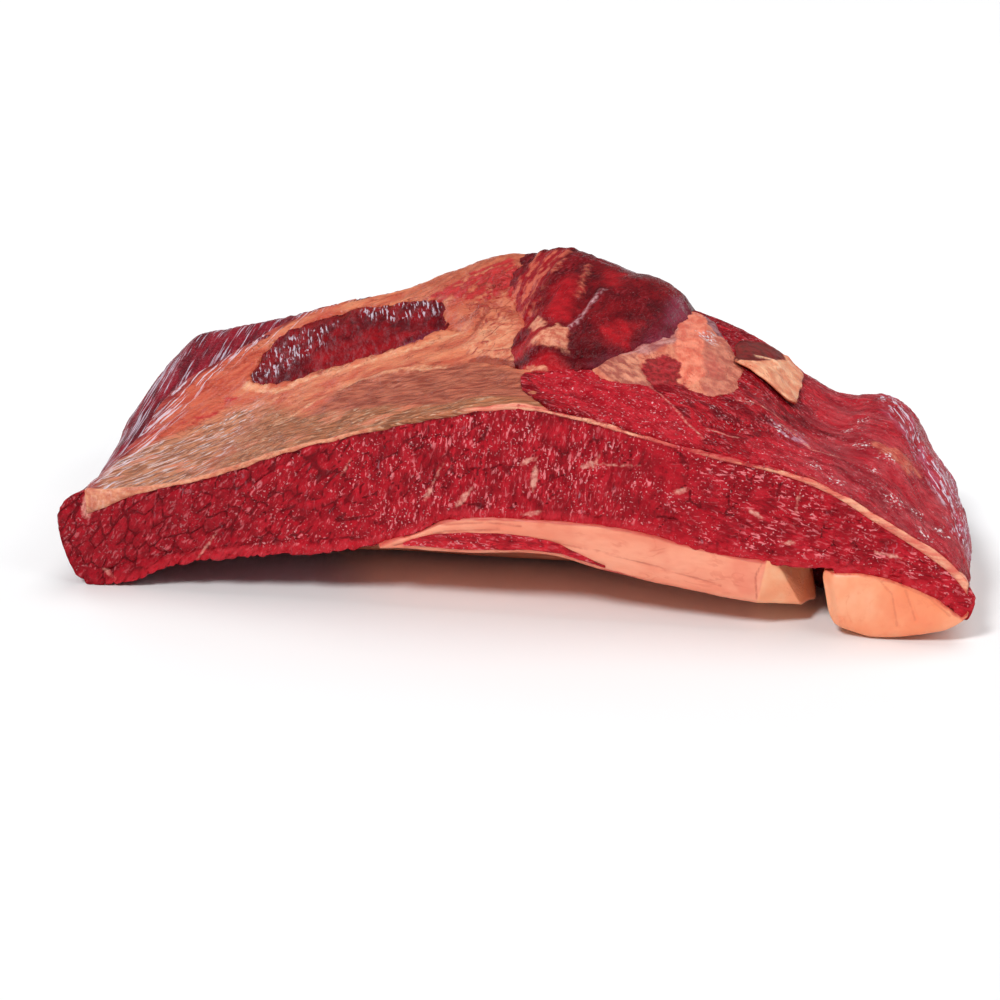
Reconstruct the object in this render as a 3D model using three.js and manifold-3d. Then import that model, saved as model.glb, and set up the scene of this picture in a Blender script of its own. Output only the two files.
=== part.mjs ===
// A raw boneless beef brisket, trimmed by hand, lying on its underside.
// Its long cut face looks along -Y and shows the thick flat muscle. A sheet of fat covers the flat
// muscle on the left and runs on as the seam under the point muscle on the right. A dark muscle
// makes the hump, another shows through a window in the fat, and under the flat muscle lie a slab
// of fat with a streak of lean and, past a notch, a thick lump of fat.
// Millimetres, +Z up. The origin is at the middle of the underside.
import * as THREE from 'three';
import { mergeVertices } from 'three/addons/utils/BufferGeometryUtils.js';
import Module from 'manifold-3d';

const wasm = await Module();
wasm.setup();

// Driving sizes
const frontY = -112;        // the plane of the long cut
const backCorners = [-198, 182];
const cleft = 0.4;          // clearance kept between layers that lie on each other
const fineness = 0.08;      // how far a facet may lie off the cut shape
const seat = 0;             // height of the surface it lies on
const archReach = 78;       // how far behind the cut the arched underside comes down
const sideRoll = [15, 22];  // how far in the sides' rounded edges reach, at the cut and behind it
const backRoll = 44;        // and the back's
const bluntness = 0.985;    // how much of its rounding an edge keeps, which leaves it a blunt rim
const overCut = 30;         // how far a cutter is raised past the layers that lie over it

const clamp01 = (t) => Math.min(1, Math.max(0, t));
const lerp = (a, b, t) => a + (b - a) * t;
const ramp = (from, to, t) => {
  const s = clamp01((t - from) / (to - from));
  return s * s * (3 - 2 * s);
};

// A smooth curve through stations [x, value], flat outside them.
function curve(stations) {
  const last = stations.length - 1;
  const slope = (i) => {
    const [a, b] = [stations[Math.max(0, i - 1)], stations[Math.min(last, i + 1)]];
    return (b[1] - a[1]) / (b[0] - a[0]);
  };
  return (x) => {
    if (x <= stations[0][0]) return stations[0][1];
    if (x >= stations[last][0]) return stations[last][1];
    let i = 0;
    while (stations[i + 1][0] < x) i++;
    const [[x0, y0], [x1, y1]] = [stations[i], stations[i + 1]];
    const h = x1 - x0;
    const t = (x - x0) / h;
    return (1 + 2 * t) * (1 - t) ** 2 * y0 + t * (1 - t) ** 2 * h * slope(i)
      + t * t * (3 - 2 * t) * y1 + t * t * (t - 1) * h * slope(i + 1);
  };
}

// Plan outline: x of the left and right sides by y, and y of the back by x
const leftSide = curve([[-112, -219], [-98, -215], [-84, -210], [-40, -213], [0, -217], [30, -216],
  [56, -213], [78, -208], [93, -198]]);
const rightSide = curve([[-112, 217], [-104, 213], [-80, 210], [-40, 208], [-10, 204], [20, 194],
  [42, 182]]);
const backSide = curve([[-198, 93], [-150, 108], [-100, 114], [-40, 112], [20, 104], [80, 84],
  [130, 64], [182, 42]]);

// Heights along the front cut by x: top of the fat, top and bottom of the flat muscle, underside
const fatTopAtCut = curve([[-217, 49], [-200, 49], [-168, 54], [-146, 60], [-100, 78], [-50, 93],
  [0, 104], [30, 101], [60, 94], [90, 87], [130, 79], [150, 72], [170, 61], [190, 49.5],
  [205, 40], [217, 30]]);
const leanTopAtCut = curve([[-217, 38], [-202, 38], [-185, 46], [-168, 52], [-146, 58], [-100, 76],
  [-50, 91], [0, 102], [30, 99], [60, 92], [90, 85], [130, 77], [150, 69.5], [170, 57.5],
  [190, 45.5], [205, 35], [217, 24]]);
const leanBottomAtCut = curve([[-62, 31], [-45, 38], [-30, 45], [0, 48], [50, 47], [102, 37],
  [124, 35], [145, 32], [166, 32], [182, 29], [198, 23], [212, 13]]);
const undersideAtCut = curve([[-200, 0], [-182, 3], [-168, 11], [-140, 18], [-86, 25], [-60, 29.5],
  [-20, 30], [20, 31.5], [48, 25], [100, 16.5], [132, 12], [150, 7], [168, 1.5], [178, 1.5],
  [190, 3.5], [202, 6], [217, 9]]);

// Heights at the back, before the edge rolls over: the fat's and, on the right, the point's crest
const fatTopAtBack = curve([[-214, 74], [-188, 79], [-150, 85], [-120, 92], [-90, 99], [-60, 112],
  [-35, 123], [-10, 122], [20, 112], [60, 96], [100, 82], [150, 62], [182, 50]]);
const pointCrest = curve([[0, 105], [60, 104], [90, 97], [110, 90], [122, 82], [134, 76],
  [148, 73], [165, 76.5], [178, 74], [190, 62], [204, 57], [217, 53]]);

// The place on plan of u, left to right, and v, front to back
function onPlan(u, v) {
  const [backLeft, backRight] = backCorners;
  const left = leftSide(lerp(frontY, backSide(backLeft), v));
  const right = rightSide(lerp(frontY, backSide(backRight), v));
  return [lerp(left, right, u), lerp(frontY, backSide(lerp(backLeft, backRight, u)), v)];
}

const underside = (x, y) => seat + undersideAtCut(x) * (1 - ramp(frontY, frontY + archReach, y));

// The middle height that the rolled edges close on, and how full the body is near its edges
const backward = (y) => ramp(frontY, 40, y);
const fatTopFlat = (x, y) => {
  const v = clamp01((y - frontY) / (backSide(x) - frontY));
  return lerp(fatTopAtCut(x), fatTopAtBack(x), ramp(0.25, 0.95, v));
};
const near = (distance, radius) => clamp01(1 - distance / radius);
// The share of the height at which the edges close: at the cut, behind it, and along both sides
const closing = { cut: 0.6, behind: 0.42, sides: 0.68, reach: 60 };
function middle(x, y) {
  const sides = near(x - leftSide(y), closing.reach) + near(rightSide(y) - x, closing.reach);
  const share = lerp(lerp(closing.cut, closing.behind, backward(y)), closing.sides,
    clamp01(sides) * (1 - ramp(40, 100, y)));
  return lerp(underside(x, y), fatTopFlat(x, y), share);
}
function fullness(x, y) {
  const radius = lerp(...sideRoll, backward(y));
  const left = near(x - leftSide(y), radius);
  const right = near(rightSide(y) - x, radius);
  const back = near(backSide(x) - y, backRoll);
  const edge = Math.min(bluntness, (left ** 8 + right ** 8 + back ** 8) ** (1 / 8));
  return Math.sqrt(1 - edge * edge);
}
const rolled = (height) => (x, y) => lerp(middle(x, y), height(x, y), fullness(x, y));

// Folds and furrows of the point muscle: [x, y, half length, half width, turn, height]
const folds = [
  [97, -84, 26, 6, 0.4, -2.6],
  [136, -20, 22, 12, 0.1, -3.5],
  [192, -36, 48, 9, -1.15, 3.2],
  [118, -60, 40, 9, -0.3, 2.2],
  [60, -84, 30, 8, -0.2, 1.6],
  [4, -76, 8, 9, 0.9, -4],
  [160, -70, 34, 8, -0.5, -2.2],
];
const foldsAt = (x, y) => folds.reduce((sum, [cx, cy, length, width, turn, height]) => {
  const [c, s] = [Math.cos(turn), Math.sin(turn)];
  const along = (c * (x - cx) + s * (y - cy)) / length;
  const across = (c * (y - cy) - s * (x - cx)) / width;
  return sum + height * Math.exp(-along * along - across * across);
}, 0);

// Surfaces between the layers. The sheet is thicker towards its right end, before it runs on as
// the seam, and it lies a little lower under the point.
const fatTop = rolled(fatTopFlat);
const fatDepth = (x, y) => fatTopAtCut(x) - leanTopAtCut(x)
  + 5 * ramp(-75, -30, y) * (1 - ramp(10, 60, x));
const sheetTop = (x, y) => fatTop(x, y) - 3 * ramp(frontY, -94, y) * ramp(2, 34, x);
const flatTop = (x, y) => fatTop(x, y) - 0.8;
const pointTop = rolled((x, y) => {
  const up = clamp01((y - frontY) / 100);
  const swell = foldsAt(x, y) * ramp(frontY, -100, y);
  return lerp(fatTopAtCut(x) + 1.4, pointCrest(x), Math.sin(up * Math.PI / 2) ** 0.9) + swell;
});
const bodyBottom = rolled(underside);
const underFatTop = (x, y) => lerp(leanBottomAtCut(x), 13, ramp(frontY, -20, y));

// A closed solid: a box divided into cells and bent so that u, v, w in 0 to 1 land on place(u, v, w)
function bent(cells, place) {
  const box = new THREE.BoxGeometry(1, 1, 1, ...cells);
  box.deleteAttribute('normal');
  box.deleteAttribute('uv');
  const shape = mergeVertices(box, 1e-4);
  const at = shape.getAttribute('position');
  for (let i = 0; i < at.count; i++) {
    at.setXYZ(i, ...place(at.getX(i) + 0.5, at.getY(i) + 0.5, at.getZ(i) + 0.5));
  }
  return shape;
}

// The same shape a little larger all round, for the room that its neighbours leave it. Each corner
// moves so that every face that meets there moves out by the same amount.
function swollen(shape, by) {
  const larger = shape.clone();
  const at = larger.getAttribute('position');
  const corner = (k) => new THREE.Vector3().fromBufferAttribute(at, shape.index.getX(k));
  const moves = Array.from({ length: at.count }, () => ({
    faces: new THREE.Matrix3().set(0.02, 0, 0, 0, 0.02, 0, 0, 0, 0.02),
    by: new THREE.Vector3(),
  }));
  for (let k = 0; k < shape.index.count; k += 3) {
    const n = new THREE.Triangle(corner(k), corner(k + 1), corner(k + 2))
      .getNormal(new THREE.Vector3());
    for (let i = k; i < k + 3; i++) {
      const move = moves[shape.index.getX(i)];
      const squares = [n.x, n.y, n.z].flatMap((a) => [a * n.x, a * n.y, a * n.z]);
      squares.forEach((square, j) => { move.faces.elements[j] += square; });
      move.by.addScaledVector(n, by);
    }
  }
  moves.forEach((move, i) => {
    const step = move.by.applyMatrix3(move.faces.invert()).clampLength(0, 4 * by);
    at.setXYZ(i, at.getX(i) + step.x, at.getY(i) + step.y, at.getZ(i) + step.z);
  });
  return larger;
}

function solid(shape) {
  return new wasm.Manifold(new wasm.Mesh({
    numProp: 3,
    vertProperties: new Float32Array(shape.getAttribute('position').array),
    triVerts: new Uint32Array(shape.index.array),
  }));
}

const closeAtEnds = (t, share = 0.7) => t - share * Math.sin(2 * Math.PI * t) / (2 * Math.PI);
const closeAtBack = (t) => 1 - (1 - t) ** 1.45;

// A layer between two surfaces over the plan from the cut to the back, between left and right reaches
function layer(cells, [u0, u1], reachBack, bottom, top) {
  return bent(cells, (s, t, w) => {
    const v = reachBack(s) * closeAtBack(t);
    const [x, y] = onPlan(lerp(u0(v), u1(v), closeAtEnds(s)), v);
    return [x, y, lerp(bottom(x, y), top(x, y), w)];
  });
}

// A pad that thins to its rim, between two surfaces. Its outline is given as its reach from the
// centre by the angle in degrees.
function pad(cells, { centre, outline, rim }, bottom, top) {
  const [first, last] = [outline[0], outline[outline.length - 1]];
  const reach = curve([[last[0] - 360, last[1]], ...outline, [first[0] + 360, first[1]]]);
  return bent(cells, (u, v, w) => {
    const [a, b] = [2 * u - 1, 2 * v - 1];
    const [p, q] = [a * Math.sqrt(1 - b * b / 2), b * Math.sqrt(1 - a * a / 2)];
    const far = reach((Math.atan2(q, p) * 180 / Math.PI + 360) % 360);
    const [x, y] = [centre[0] + far * p, centre[1] + far * q];
    const low = bottom(x, y);
    return [x, y, lerp(low, Math.max(low + rim, top(x, y, Math.min(1, Math.hypot(p, q)))), w)];
  });
}

// The flat muscle, whole: the others are cut out of it
function flatMuscle() {
  return layer([30, 12, 3], [() => 0, () => 1], () => 1, bodyBottom, flatTop);
}

// The fat over the flat muscle, and the seam that it makes under the point
const sheetLeft = curve([[0, 0.033], [0.08, 0.018], [0.17, 0.012], [0.28, 0.03], [0.4, 0.042],
  [0.49, 0.047], [0.55, 0.058], [0.61, 0.078], [0.67, 0.107], [0.74, 0.135], [0.8, 0.17],
  [0.84, 0.2]]);
const sheetRight = curve([[0, 0.991], [0.15, 0.962]]);
const sheetBack = (s) => lerp(0.83, 0.92, ramp(0.1, 0.4, s));
function fatSheet(over = 0) {
  return layer([26, 11, 1], [sheetLeft, sheetRight], sheetBack,
    (x, y) => sheetTop(x, y) - fatDepth(x, y), (x, y) => sheetTop(x, y) + over);
}

// The point muscle, over the right of the seam
const pointLeft = curve([[0, 0.545], [0.1, 0.505], [0.3, 0.5]]);
const pointRight = curve([[0, 0.98], [0.07, 1]]);
function pointMuscle(over = 0) {
  return layer([20, 11, 2], [pointLeft, pointRight], () => 1, (x, y) => flatTop(x, y) + 0.2,
    (x, y) => Math.max(pointTop(x, y), sheetTop(x, y) + 1.4) + over);
}

// The dark muscle of the hump, on the point
const hump = {
  centre: [22, 10],
  outline: [[4, 42], [35, 54], [61, 78], [90, 83], [111, 90], [135, 67], [170, 42], [208, 38],
    [228, 54], [243, 66], [258, 80], [269, 73], [283, 61], [298, 49], [317, 44]],
  rim: 2,
};
function humpMuscle() {
  const rise = (x, y) => (15.5 + 4 * ramp(0, -26, x)) * fullness(x, y);
  const base = (x, y) => Math.max(fatTop(x, y), pointTop(x, y) * ramp(0, 24, x));
  return pad([14, 14, 2], hump, (x, y) => fatTop(x, y) - 1.5,
    (x, y, out) => base(x, y) + rise(x, y) * (1 - out ** 2.8) ** 0.8);
}

// A narrow muscle that shows through the window in the sheet
const strip = {
  centre: [-106, 28],
  outline: [[0, 50], [35, 40], [72, 35], [95, 35], [127, 39], [155, 46], [185, 49], [207, 52],
    [228, 44], [250, 35], [275, 32], [308, 38], [335, 52]],
  rim: 1.5,
};
function stripMuscle(over = 0) {
  return pad([12, 8, 1], strip, (x, y) => fatTop(x, y) - 12,
    (x, y, out) => fatTop(x, y) - 2 + 3 * (1 - out * out) + over);
}

// The fat at the right foot of the hump
const wedge = {
  centre: [74, -22],
  outline: [[0, 25], [57, 33], [80, 52], [92, 72], [112, 66], [150, 46], [190, 46], [215, 55],
    [232, 56], [248, 50], [262, 38], [283, 40], [303, 37], [335, 27]],
  rim: 1.5,
};
function fatWedge() {
  return pad([10, 10, 1], wedge, (x, y) => pointTop(x, y) - 3,
    (x, y, out) => pointTop(x, y) + 2.2 * (1 - out ** 4));
}

// A flap of fat that stands off the point at its free end
const flap = {
  centre: [112, -5],
  outline: [[0, 17], [45, 20], [69, 24], [92, 21], [120, 22], [160, 18], [196, 19], [225, 17],
    [258, 19], [285, 23], [303, 27], [330, 21]],
  rim: 2.4,
};
function fatFlap() {
  const lift = (x, y) => 0.4 + 2.6 * ramp(0, -26, y);
  return pad([8, 8, 1], flap, (x, y) => pointTop(x, y) + lift(x, y),
    (x, y, out) => pointTop(x, y) + lift(x, y) + 2.4 + 2.2 * (1 - out * out));
}

// Under the flat muscle: a slab of fat, its streak of lean, and the lump past the notch
const slabLeft = curve([[-112, -61], [-60, -90], [0, -130], [70, -150]]);
const slabRight = curve([[-112, 127], [-92, 136], [-80, 138], [40, 128]]);
const slabBack = curve([[-150, 74], [-60, 84], [40, 66], [138, 30]]);
function underFat(over = 0) {
  return bent([16, 8, 2], (s, t, w) => {
    const reach = (x) => lerp(frontY, slabBack(x), t);
    const y = reach(lerp(-150, 138, s));
    const x = lerp(slabLeft(y), slabRight(y) + 4 * (1 - w), s);
    const bottom = bodyBottom(x, y) - 0.2;
    return [x, y, lerp(bottom - over, Math.max(bottom + 1.8, underFatTop(x, y)), w)];
  });
}

const streak = { from: -50, to: 27, back: -55, thick: 8.5 };
function underStreak() {
  return bent([10, 3, 1], (s, t, w) => {
    const y = lerp(frontY, streak.back, t);
    const x = lerp(streak.from, streak.to, s);
    const bottom = bodyBottom(x, y) + 1.9;
    const thick = 1.2 + (streak.thick - 1.2) * Math.sin(Math.PI * s) ** 0.8 * (1 - 0.6 * t);
    return [x, y, bottom + w * thick];
  });
}

const lump = { left: 146, back: 24 };
function endFat(over = 0) {
  return bent([8, 8, 3], (s, t, w) => {
    const y = lerp(frontY, lump.back, t);
    const x = lerp(lump.left + 4 * (2 * w - 1) ** 2, rightSide(y) - 3, s);
    const bottom = bodyBottom(x, y) - 0.2;
    const top = Math.max(bottom + 1.8, lerp(leanBottomAtCut(x), 14, ramp(frontY, 10, y)));
    return [x, y, lerp(bottom - over, top, w)];
  });
}

// The notch in the cut between the slab and the lump, closing a little way in
const gap = { from: 129, to: 154, flare: 3, deep: 48, roof: 33 };
function notch() {
  return bent([2, 2, 2], (s, t, w) => [
    lerp(gap.from, gap.to, s) + gap.flare * (s - 0.5) * (1 - t),
    lerp(frontY - 4, frontY + gap.deep, t),
    lerp(-6, gap.roof, w)]);
}

// Each layer with its finish, the uppermost claim on the space first
const lean = { color: 0x9c1f26, roughness: 0.38, metalness: 0 };
const darkLean = { color: 0x6e1219, roughness: 0.3, metalness: 0 };
const tanFat = { color: 0xcb8258, roughness: 0.45, metalness: 0 };
const paleFat = { color: 0xf0a27a, roughness: 0.42, metalness: 0 };
const layers = [
  ['fat_flap', fatFlap(), paleFat],
  ['strip_muscle', stripMuscle(), darkLean],
  ['hump_muscle', humpMuscle(), darkLean],
  ['fat_wedge', fatWedge(), paleFat],
  ['fat_sheet', fatSheet(), tanFat],
  ['point_muscle', pointMuscle(), lean],
  ['under_streak', underStreak(), lean],
  ['under_fat', underFat(), paleFat],
  ['end_fat', endFat(), paleFat],
  ['flat_muscle', flatMuscle(), lean],
];
const cutters = {
  fat_sheet: [solid(swollen(stripMuscle(overCut), cleft))],
  flat_muscle: [fatSheet(overCut), pointMuscle(2 * overCut), underFat(overCut), endFat(overCut)]
    .map((shape) => solid(swollen(shape, cleft))).concat(solid(notch())),
};

const largest = (pieces) => pieces.reduce((a, b) => (a.volume() > b.volume() ? a : b));

function geometryOf(piece) {
  const { numProp, vertProperties, triVerts } = piece.getMesh();
  const geometry = new THREE.BufferGeometry();
  geometry.setAttribute('position', new THREE.BufferAttribute(vertProperties, numProp));
  geometry.setIndex(new THREE.BufferAttribute(triVerts, 1));
  geometry.computeVertexNormals();
  return geometry;
}

const brisket = new THREE.Group();
const taken = [];
for (const [name, shape, finish] of layers) {
  let piece = solid(shape);
  for (const room of [...taken, ...(cutters[name] ?? [])]) piece = piece.subtract(room);
  const mesh = new THREE.Mesh(geometryOf(largest(piece.simplify(fineness).decompose())),
    new THREE.MeshStandardMaterial(finish));
  mesh.name = name;
  brisket.add(mesh);
  taken.push(solid(swollen(shape, cleft)));
}

// The origin at the middle of the underside
const box = new THREE.Box3().setFromObject(brisket);
const centre = box.getCenter(new THREE.Vector3());
brisket.position.set(-centre.x, -centre.y, -box.min.z);

export default brisket;
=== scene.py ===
import math

import bpy
import mathutils
import numpy as np
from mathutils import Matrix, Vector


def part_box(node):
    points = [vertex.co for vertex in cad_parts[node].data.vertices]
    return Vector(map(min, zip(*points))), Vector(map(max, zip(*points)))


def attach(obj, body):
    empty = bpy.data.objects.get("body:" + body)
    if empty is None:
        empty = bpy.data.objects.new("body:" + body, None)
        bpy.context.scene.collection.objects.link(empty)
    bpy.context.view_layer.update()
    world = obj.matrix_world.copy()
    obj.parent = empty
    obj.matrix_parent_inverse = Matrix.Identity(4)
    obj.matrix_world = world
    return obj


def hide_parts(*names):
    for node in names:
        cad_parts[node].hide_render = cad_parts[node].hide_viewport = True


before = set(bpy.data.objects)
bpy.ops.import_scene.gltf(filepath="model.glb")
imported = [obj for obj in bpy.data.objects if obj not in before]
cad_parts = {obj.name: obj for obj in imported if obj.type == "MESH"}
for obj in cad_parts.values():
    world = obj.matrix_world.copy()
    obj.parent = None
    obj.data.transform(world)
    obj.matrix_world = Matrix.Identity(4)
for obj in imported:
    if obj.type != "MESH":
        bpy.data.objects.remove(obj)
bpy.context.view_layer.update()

millimetre = 0.001
print("stage: frame loaded,", len(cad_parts), "nodes")


# Small sums

def clamp01(t):
    return np.clip(t, 0, 1)


def lerp(a, b, t):
    return a + (b - a) * t


# 0 below low, 1 above high, and an even S between them
def ramp(low, high, t):
    s = clamp01((t - low) / (high - low))
    return s * s * (3 - 2 * s)


# A smooth line through stations (place, value), flat outside them: between two stations a cubic
# whose slope at each one is that of the line between its two neighbours
def curve(stations):
    at, values = np.array(stations, float).T
    before = np.maximum(np.arange(len(at)) - 1, 0)
    after = np.minimum(np.arange(len(at)) + 1, len(at) - 1)
    slopes = (values[after] - values[before]) / (at[after] - at[before])

    def height(x):
        x = np.clip(x, at[0], at[-1])
        i = np.clip(np.searchsorted(at, x, side="right") - 1, 0, len(at) - 2)
        h = at[i + 1] - at[i]
        t = (x - at[i]) / h
        return ((1 + 2 * t) * (1 - t) ** 2 * values[i] + t * (1 - t) ** 2 * h * slopes[i]
                + t * t * (3 - 2 * t) * values[i + 1] + t * t * (t - 1) * h * slopes[i + 1])
    return height


# A fixed random number from 0 to 1 for each whole-number place
def scatter(i, j, k, seed):
    n = (i * 374761393 + j * 668265263 + k * 144665447 + seed * 97471171) & 0xffffffff
    n = ((n ^ (n >> 13)) * 1274126177) & 0xffffffff
    n = ((n ^ (n >> 16)) * 668265263) & 0xffffffff
    return ((n ^ (n >> 15)) & 0xffff) / 65535


# Smooth bumps of about -1 to 1, as large as size: each corner of a cube of space has a random
# slope, and the eight slopes round a point are blended by how near their corners are
def noise(points, size, seed=0):
    place = points / np.array(size, float)
    base = np.floor(place).astype(np.int64)
    f = place - base
    s = f * f * f * (f * (f * 6 - 15) + 10)
    total = np.zeros(len(points))
    for corner in np.ndindex(2, 2, 2):
        i, j, k = (base + corner).T
        slope = sum((scatter(i, j, k, seed + 7 * axis) * 2 - 1) * (f[:, axis] - corner[axis])
                    for axis in range(3))
        total += np.prod(np.where(corner, s, 1 - s), axis=1) * slope
    return total * 1.7


# Coarse bumps with finer ones on them, each octave half as large and half as high
def rough(points, size, octaves=3, seed=0):
    size = np.array(size, float)
    return sum(noise(points, size / 2 ** k, seed + 31 * k) / 2 ** k for k in range(octaves))


# How far a place lies along and across a line through a centre, turned by some degrees
def alongAcross(x, y, centreX, centreY, degrees):
    c, s = math.cos(math.radians(degrees)), math.sin(math.radians(degrees))
    x, y = x - centreX, y - centreY
    return c * x + s * y, c * y - s * x


# The points seen from axes turned about the upright, for grain that runs at an angle
def turned(points, degrees):
    x, y, z = points.T
    return np.stack([*alongAcross(x, y, 0, 0, degrees), z], axis=1)


# Two noises along a turned grain, the second half as high and finer, for long fibres
def fibres(points, degrees, size, finer, seed):
    points = turned(points, degrees)
    return noise(points, size, seed) + 0.5 * noise(points, finer, seed + 1)


# Uneven tiles round points strewn one to a square: how much farther the second-nearest point is
# than the nearest, 0 on a border
def tiles(a, b, seed):
    i, j = np.floor(a).astype(np.int64), np.floor(b).astype(np.int64)
    first, second = np.full(a.shape, 9.0), np.full(a.shape, 9.0)
    for di, dj in np.ndindex(3, 3):
        ci, cj = i + di - 1, j + dj - 1
        away = np.hypot(ci + scatter(ci, cj, 0 * ci, seed) - a,
                        cj + scatter(ci, cj, 0 * ci, seed + 5) - b)
        second = np.minimum(second, np.maximum(first, away))
        first = np.minimum(first, away)
    return second - first


# How far a point lies from a broken line, from the nearest of several, and how far inside a closed
# one, below 0 outside
def fromLine(a, b, line):
    nearest = np.full(a.shape, 1e9)
    for (ax, ay), (bx, by) in zip(line[:-1], line[1:]):
        dx, dy = bx - ax, by - ay
        t = clamp01(((a - ax) * dx + (b - ay) * dy) / (dx * dx + dy * dy))
        nearest = np.minimum(nearest, np.hypot(a - ax - t * dx, b - ay - t * dy))
    return nearest


def fromLines(a, b, lines):
    return np.min([fromLine(a, b, line) for line in lines], axis=0)


def inside(a, b, outline):
    closed = list(outline) + [outline[0]]
    odd = np.zeros(a.shape, bool)
    for (ax, ay), (bx, by) in zip(closed[:-1], closed[1:]):
        if ay != by:
            odd ^= ((ay > b) != (by > b)) & (a < ax + (bx - ax) * (b - ay) / (by - ay))
    away = fromLine(a, b, closed)
    return np.where(odd, away, -away)


# Marks are numbers from 0 to 1 on the mesh that the materials read. Those of patches and lines are
# 0.5 on the edge, and 0 or 1 when markReach millimetres outside or inside it
markReach = 6


def edgeMark(within):
    return clamp01(0.5 + within / (2 * markReach))


def patchMark(a, b, *outlines):
    return edgeMark(np.max([inside(a, b, outline) for outline in outlines], axis=0))


def lineMark(a, b, width, *lines):
    return edgeMark(width / 2 - fromLines(a, b, lines))


# Low hills and furrows, each a bell curve: [x, y, half length, half width, turn in degrees, height]
def folds(x, y, listed):
    total = np.zeros(x.shape)
    for cx, cy, length, width, turn, height in listed:
        along, across = alongAcross(x, y, cx, cy, turn)
        total += height * np.exp(-(along / length) ** 2 - (across / width) ** 2)
    return total


# The body that all layers share

body = {
    "halfLength": 217,          # half of the long way
    "frontY": -112,             # the plane of the long cut
    "backCorners": (-198, 182),
    "archReach": 78,            # how far behind the cut the arched underside comes down
    "leftSide": [(-112, -219), (-98, -215), (-84, -213), (-40, -216), (0, -218), (30, -216),
                 (56, -213), (78, -208), (93, -198)],
    "rightSide": [(-112, 217), (-104, 214), (-80, 213), (-60, 213), (-40, 210), (-10, 204), (20, 194),
                  (42, 182)],
    "backSide": [(-198, 93), (-150, 108), (-100, 114), (-40, 112), (20, 104), (80, 84),
                 (130, 64), (182, 42)],
    "fatTopAtCut": [(-217, 49), (-200, 49), (-168, 54), (-146, 60), (-100, 78), (-50, 93), (0, 104),
                    (30, 101), (60, 94), (90, 87), (130, 79), (150, 72), (170, 61), (190, 49.5),
                    (205, 40), (217, 30)],
    "leanTopAtCut": [(-217, 38), (-202, 38), (-185, 46), (-168, 52), (-146, 58), (-100, 76), (-50, 91),
                     (0, 102), (30, 99), (60, 92), (90, 85), (130, 77), (150, 69.5), (170, 57.5),
                     (190, 45.5), (205, 35), (217, 24)],
    "leanBottomAtCut": [(-62, 31), (-45, 38), (-30, 45), (0, 48), (50, 47), (102, 37), (124, 35),
                        (145, 32), (166, 32), (182, 29), (198, 23), (212, 13)],
    "undersideAtCut": [(-200, 0), (-182, 3), (-168, 11), (-140, 18), (-86, 25), (-60, 29.5),
                       (-20, 30), (20, 31.5), (48, 25), (100, 16.5), (132, 12), (150, 7), (168, 1.5),
                       (178, 1.5), (190, 3.5), (202, 6), (217, 9)],
    "fatTopAtBack": [(-214, 70), (-188, 76), (-150, 84), (-120, 92), (-90, 99), (-60, 112),
                     (-35, 123), (-10, 122), (20, 112), (60, 96), (100, 82), (150, 62), (182, 50)],
    "pointCrest": [(0, 105), (60, 104), (90, 97), (110, 90), (122, 82), (134, 76), (148, 73),
                   (165, 76.5), (178, 73), (190, 59), (204, 55), (217, 53)],
    "pointFolds": [(97, -84, 26, 6, 23, -2.6), (136, -20, 22, 12, 6, -3.5),
                   (192, -36, 48, 9, -66, 3.2), (118, -60, 40, 9, -17, 2.2),
                   (60, -84, 30, 8, -11, 1.6), (4, -76, 8, 9, 52, -4),
                   (160, -70, 34, 8, -29, -2.2)],
}
halfLength, frontY = body["halfLength"], body["frontY"]
leftSide, rightSide, backSide = (curve(body[side]) for side in ("leftSide", "rightSide", "backSide"))
fatTopAtCut, leanTopAtCut = curve(body["fatTopAtCut"]), curve(body["leanTopAtCut"])
leanBottomAtCut, undersideAtCut = curve(body["leanBottomAtCut"]), curve(body["undersideAtCut"])
fatTopAtBack, pointCrest = curve(body["fatTopAtBack"]), curve(body["pointCrest"])

# The cutter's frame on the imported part: its left end, its cut plane and the surface it lies on
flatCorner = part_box("flat_muscle")[0]
home = np.array(flatCorner) / millimetre - [leftSide(frontY), frontY, 0]


# Place on plan from u, left to right, and v, front to back: each side's line is shared out along
# the other way
def onPlan(u, v):
    backLeft, backRight = body["backCorners"]
    left = leftSide(lerp(frontY, backSide(backLeft), v))
    right = rightSide(lerp(frontY, backSide(backRight), v))
    return lerp(left, right, u), lerp(frontY, backSide(lerp(backLeft, backRight, u)), v)


def underside(x, y):
    return undersideAtCut(x) * (1 - ramp(frontY, frontY + body["archReach"], y))


def fatTopFlat(x, y):
    v = clamp01((y - frontY) / (backSide(x) - frontY))
    return lerp(fatTopAtCut(x), fatTopAtBack(x), ramp(0.25, 0.95, v))


# 1 at no distance, falling evenly to 0 at the radius
def near(distance, radius):
    return clamp01(1 - distance / radius)


# The rolled edges: every height closes on a middle one, along a round of the edge's radius
def middle(x, y):
    backward = ramp(frontY, 40, y)
    sides = clamp01(near(x - leftSide(y), 60) + near(rightSide(y) - x, 60))
    share = lerp(lerp(0.6, 0.42, backward), 0.68, sides * (1 - ramp(40, 100, y)))
    return lerp(underside(x, y), fatTopFlat(x, y), share)


def fullness(x, y):
    radius = lerp(15, 22, ramp(frontY, 40, y))
    left, right = near(x - leftSide(y), radius), near(rightSide(y) - x, radius)
    edge = np.minimum(0.985, (left ** 8 + right ** 8 + near(backSide(x) - y, 44) ** 8) ** 0.125)
    return np.sqrt(1 - edge ** 2)


def rolled(height, x, y):
    return lerp(middle(x, y), height, fullness(x, y))


def fatTop(x, y):
    return rolled(fatTopFlat(x, y), x, y)


def bodyBottom(x, y):
    return rolled(underside(x, y), x, y)


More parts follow.
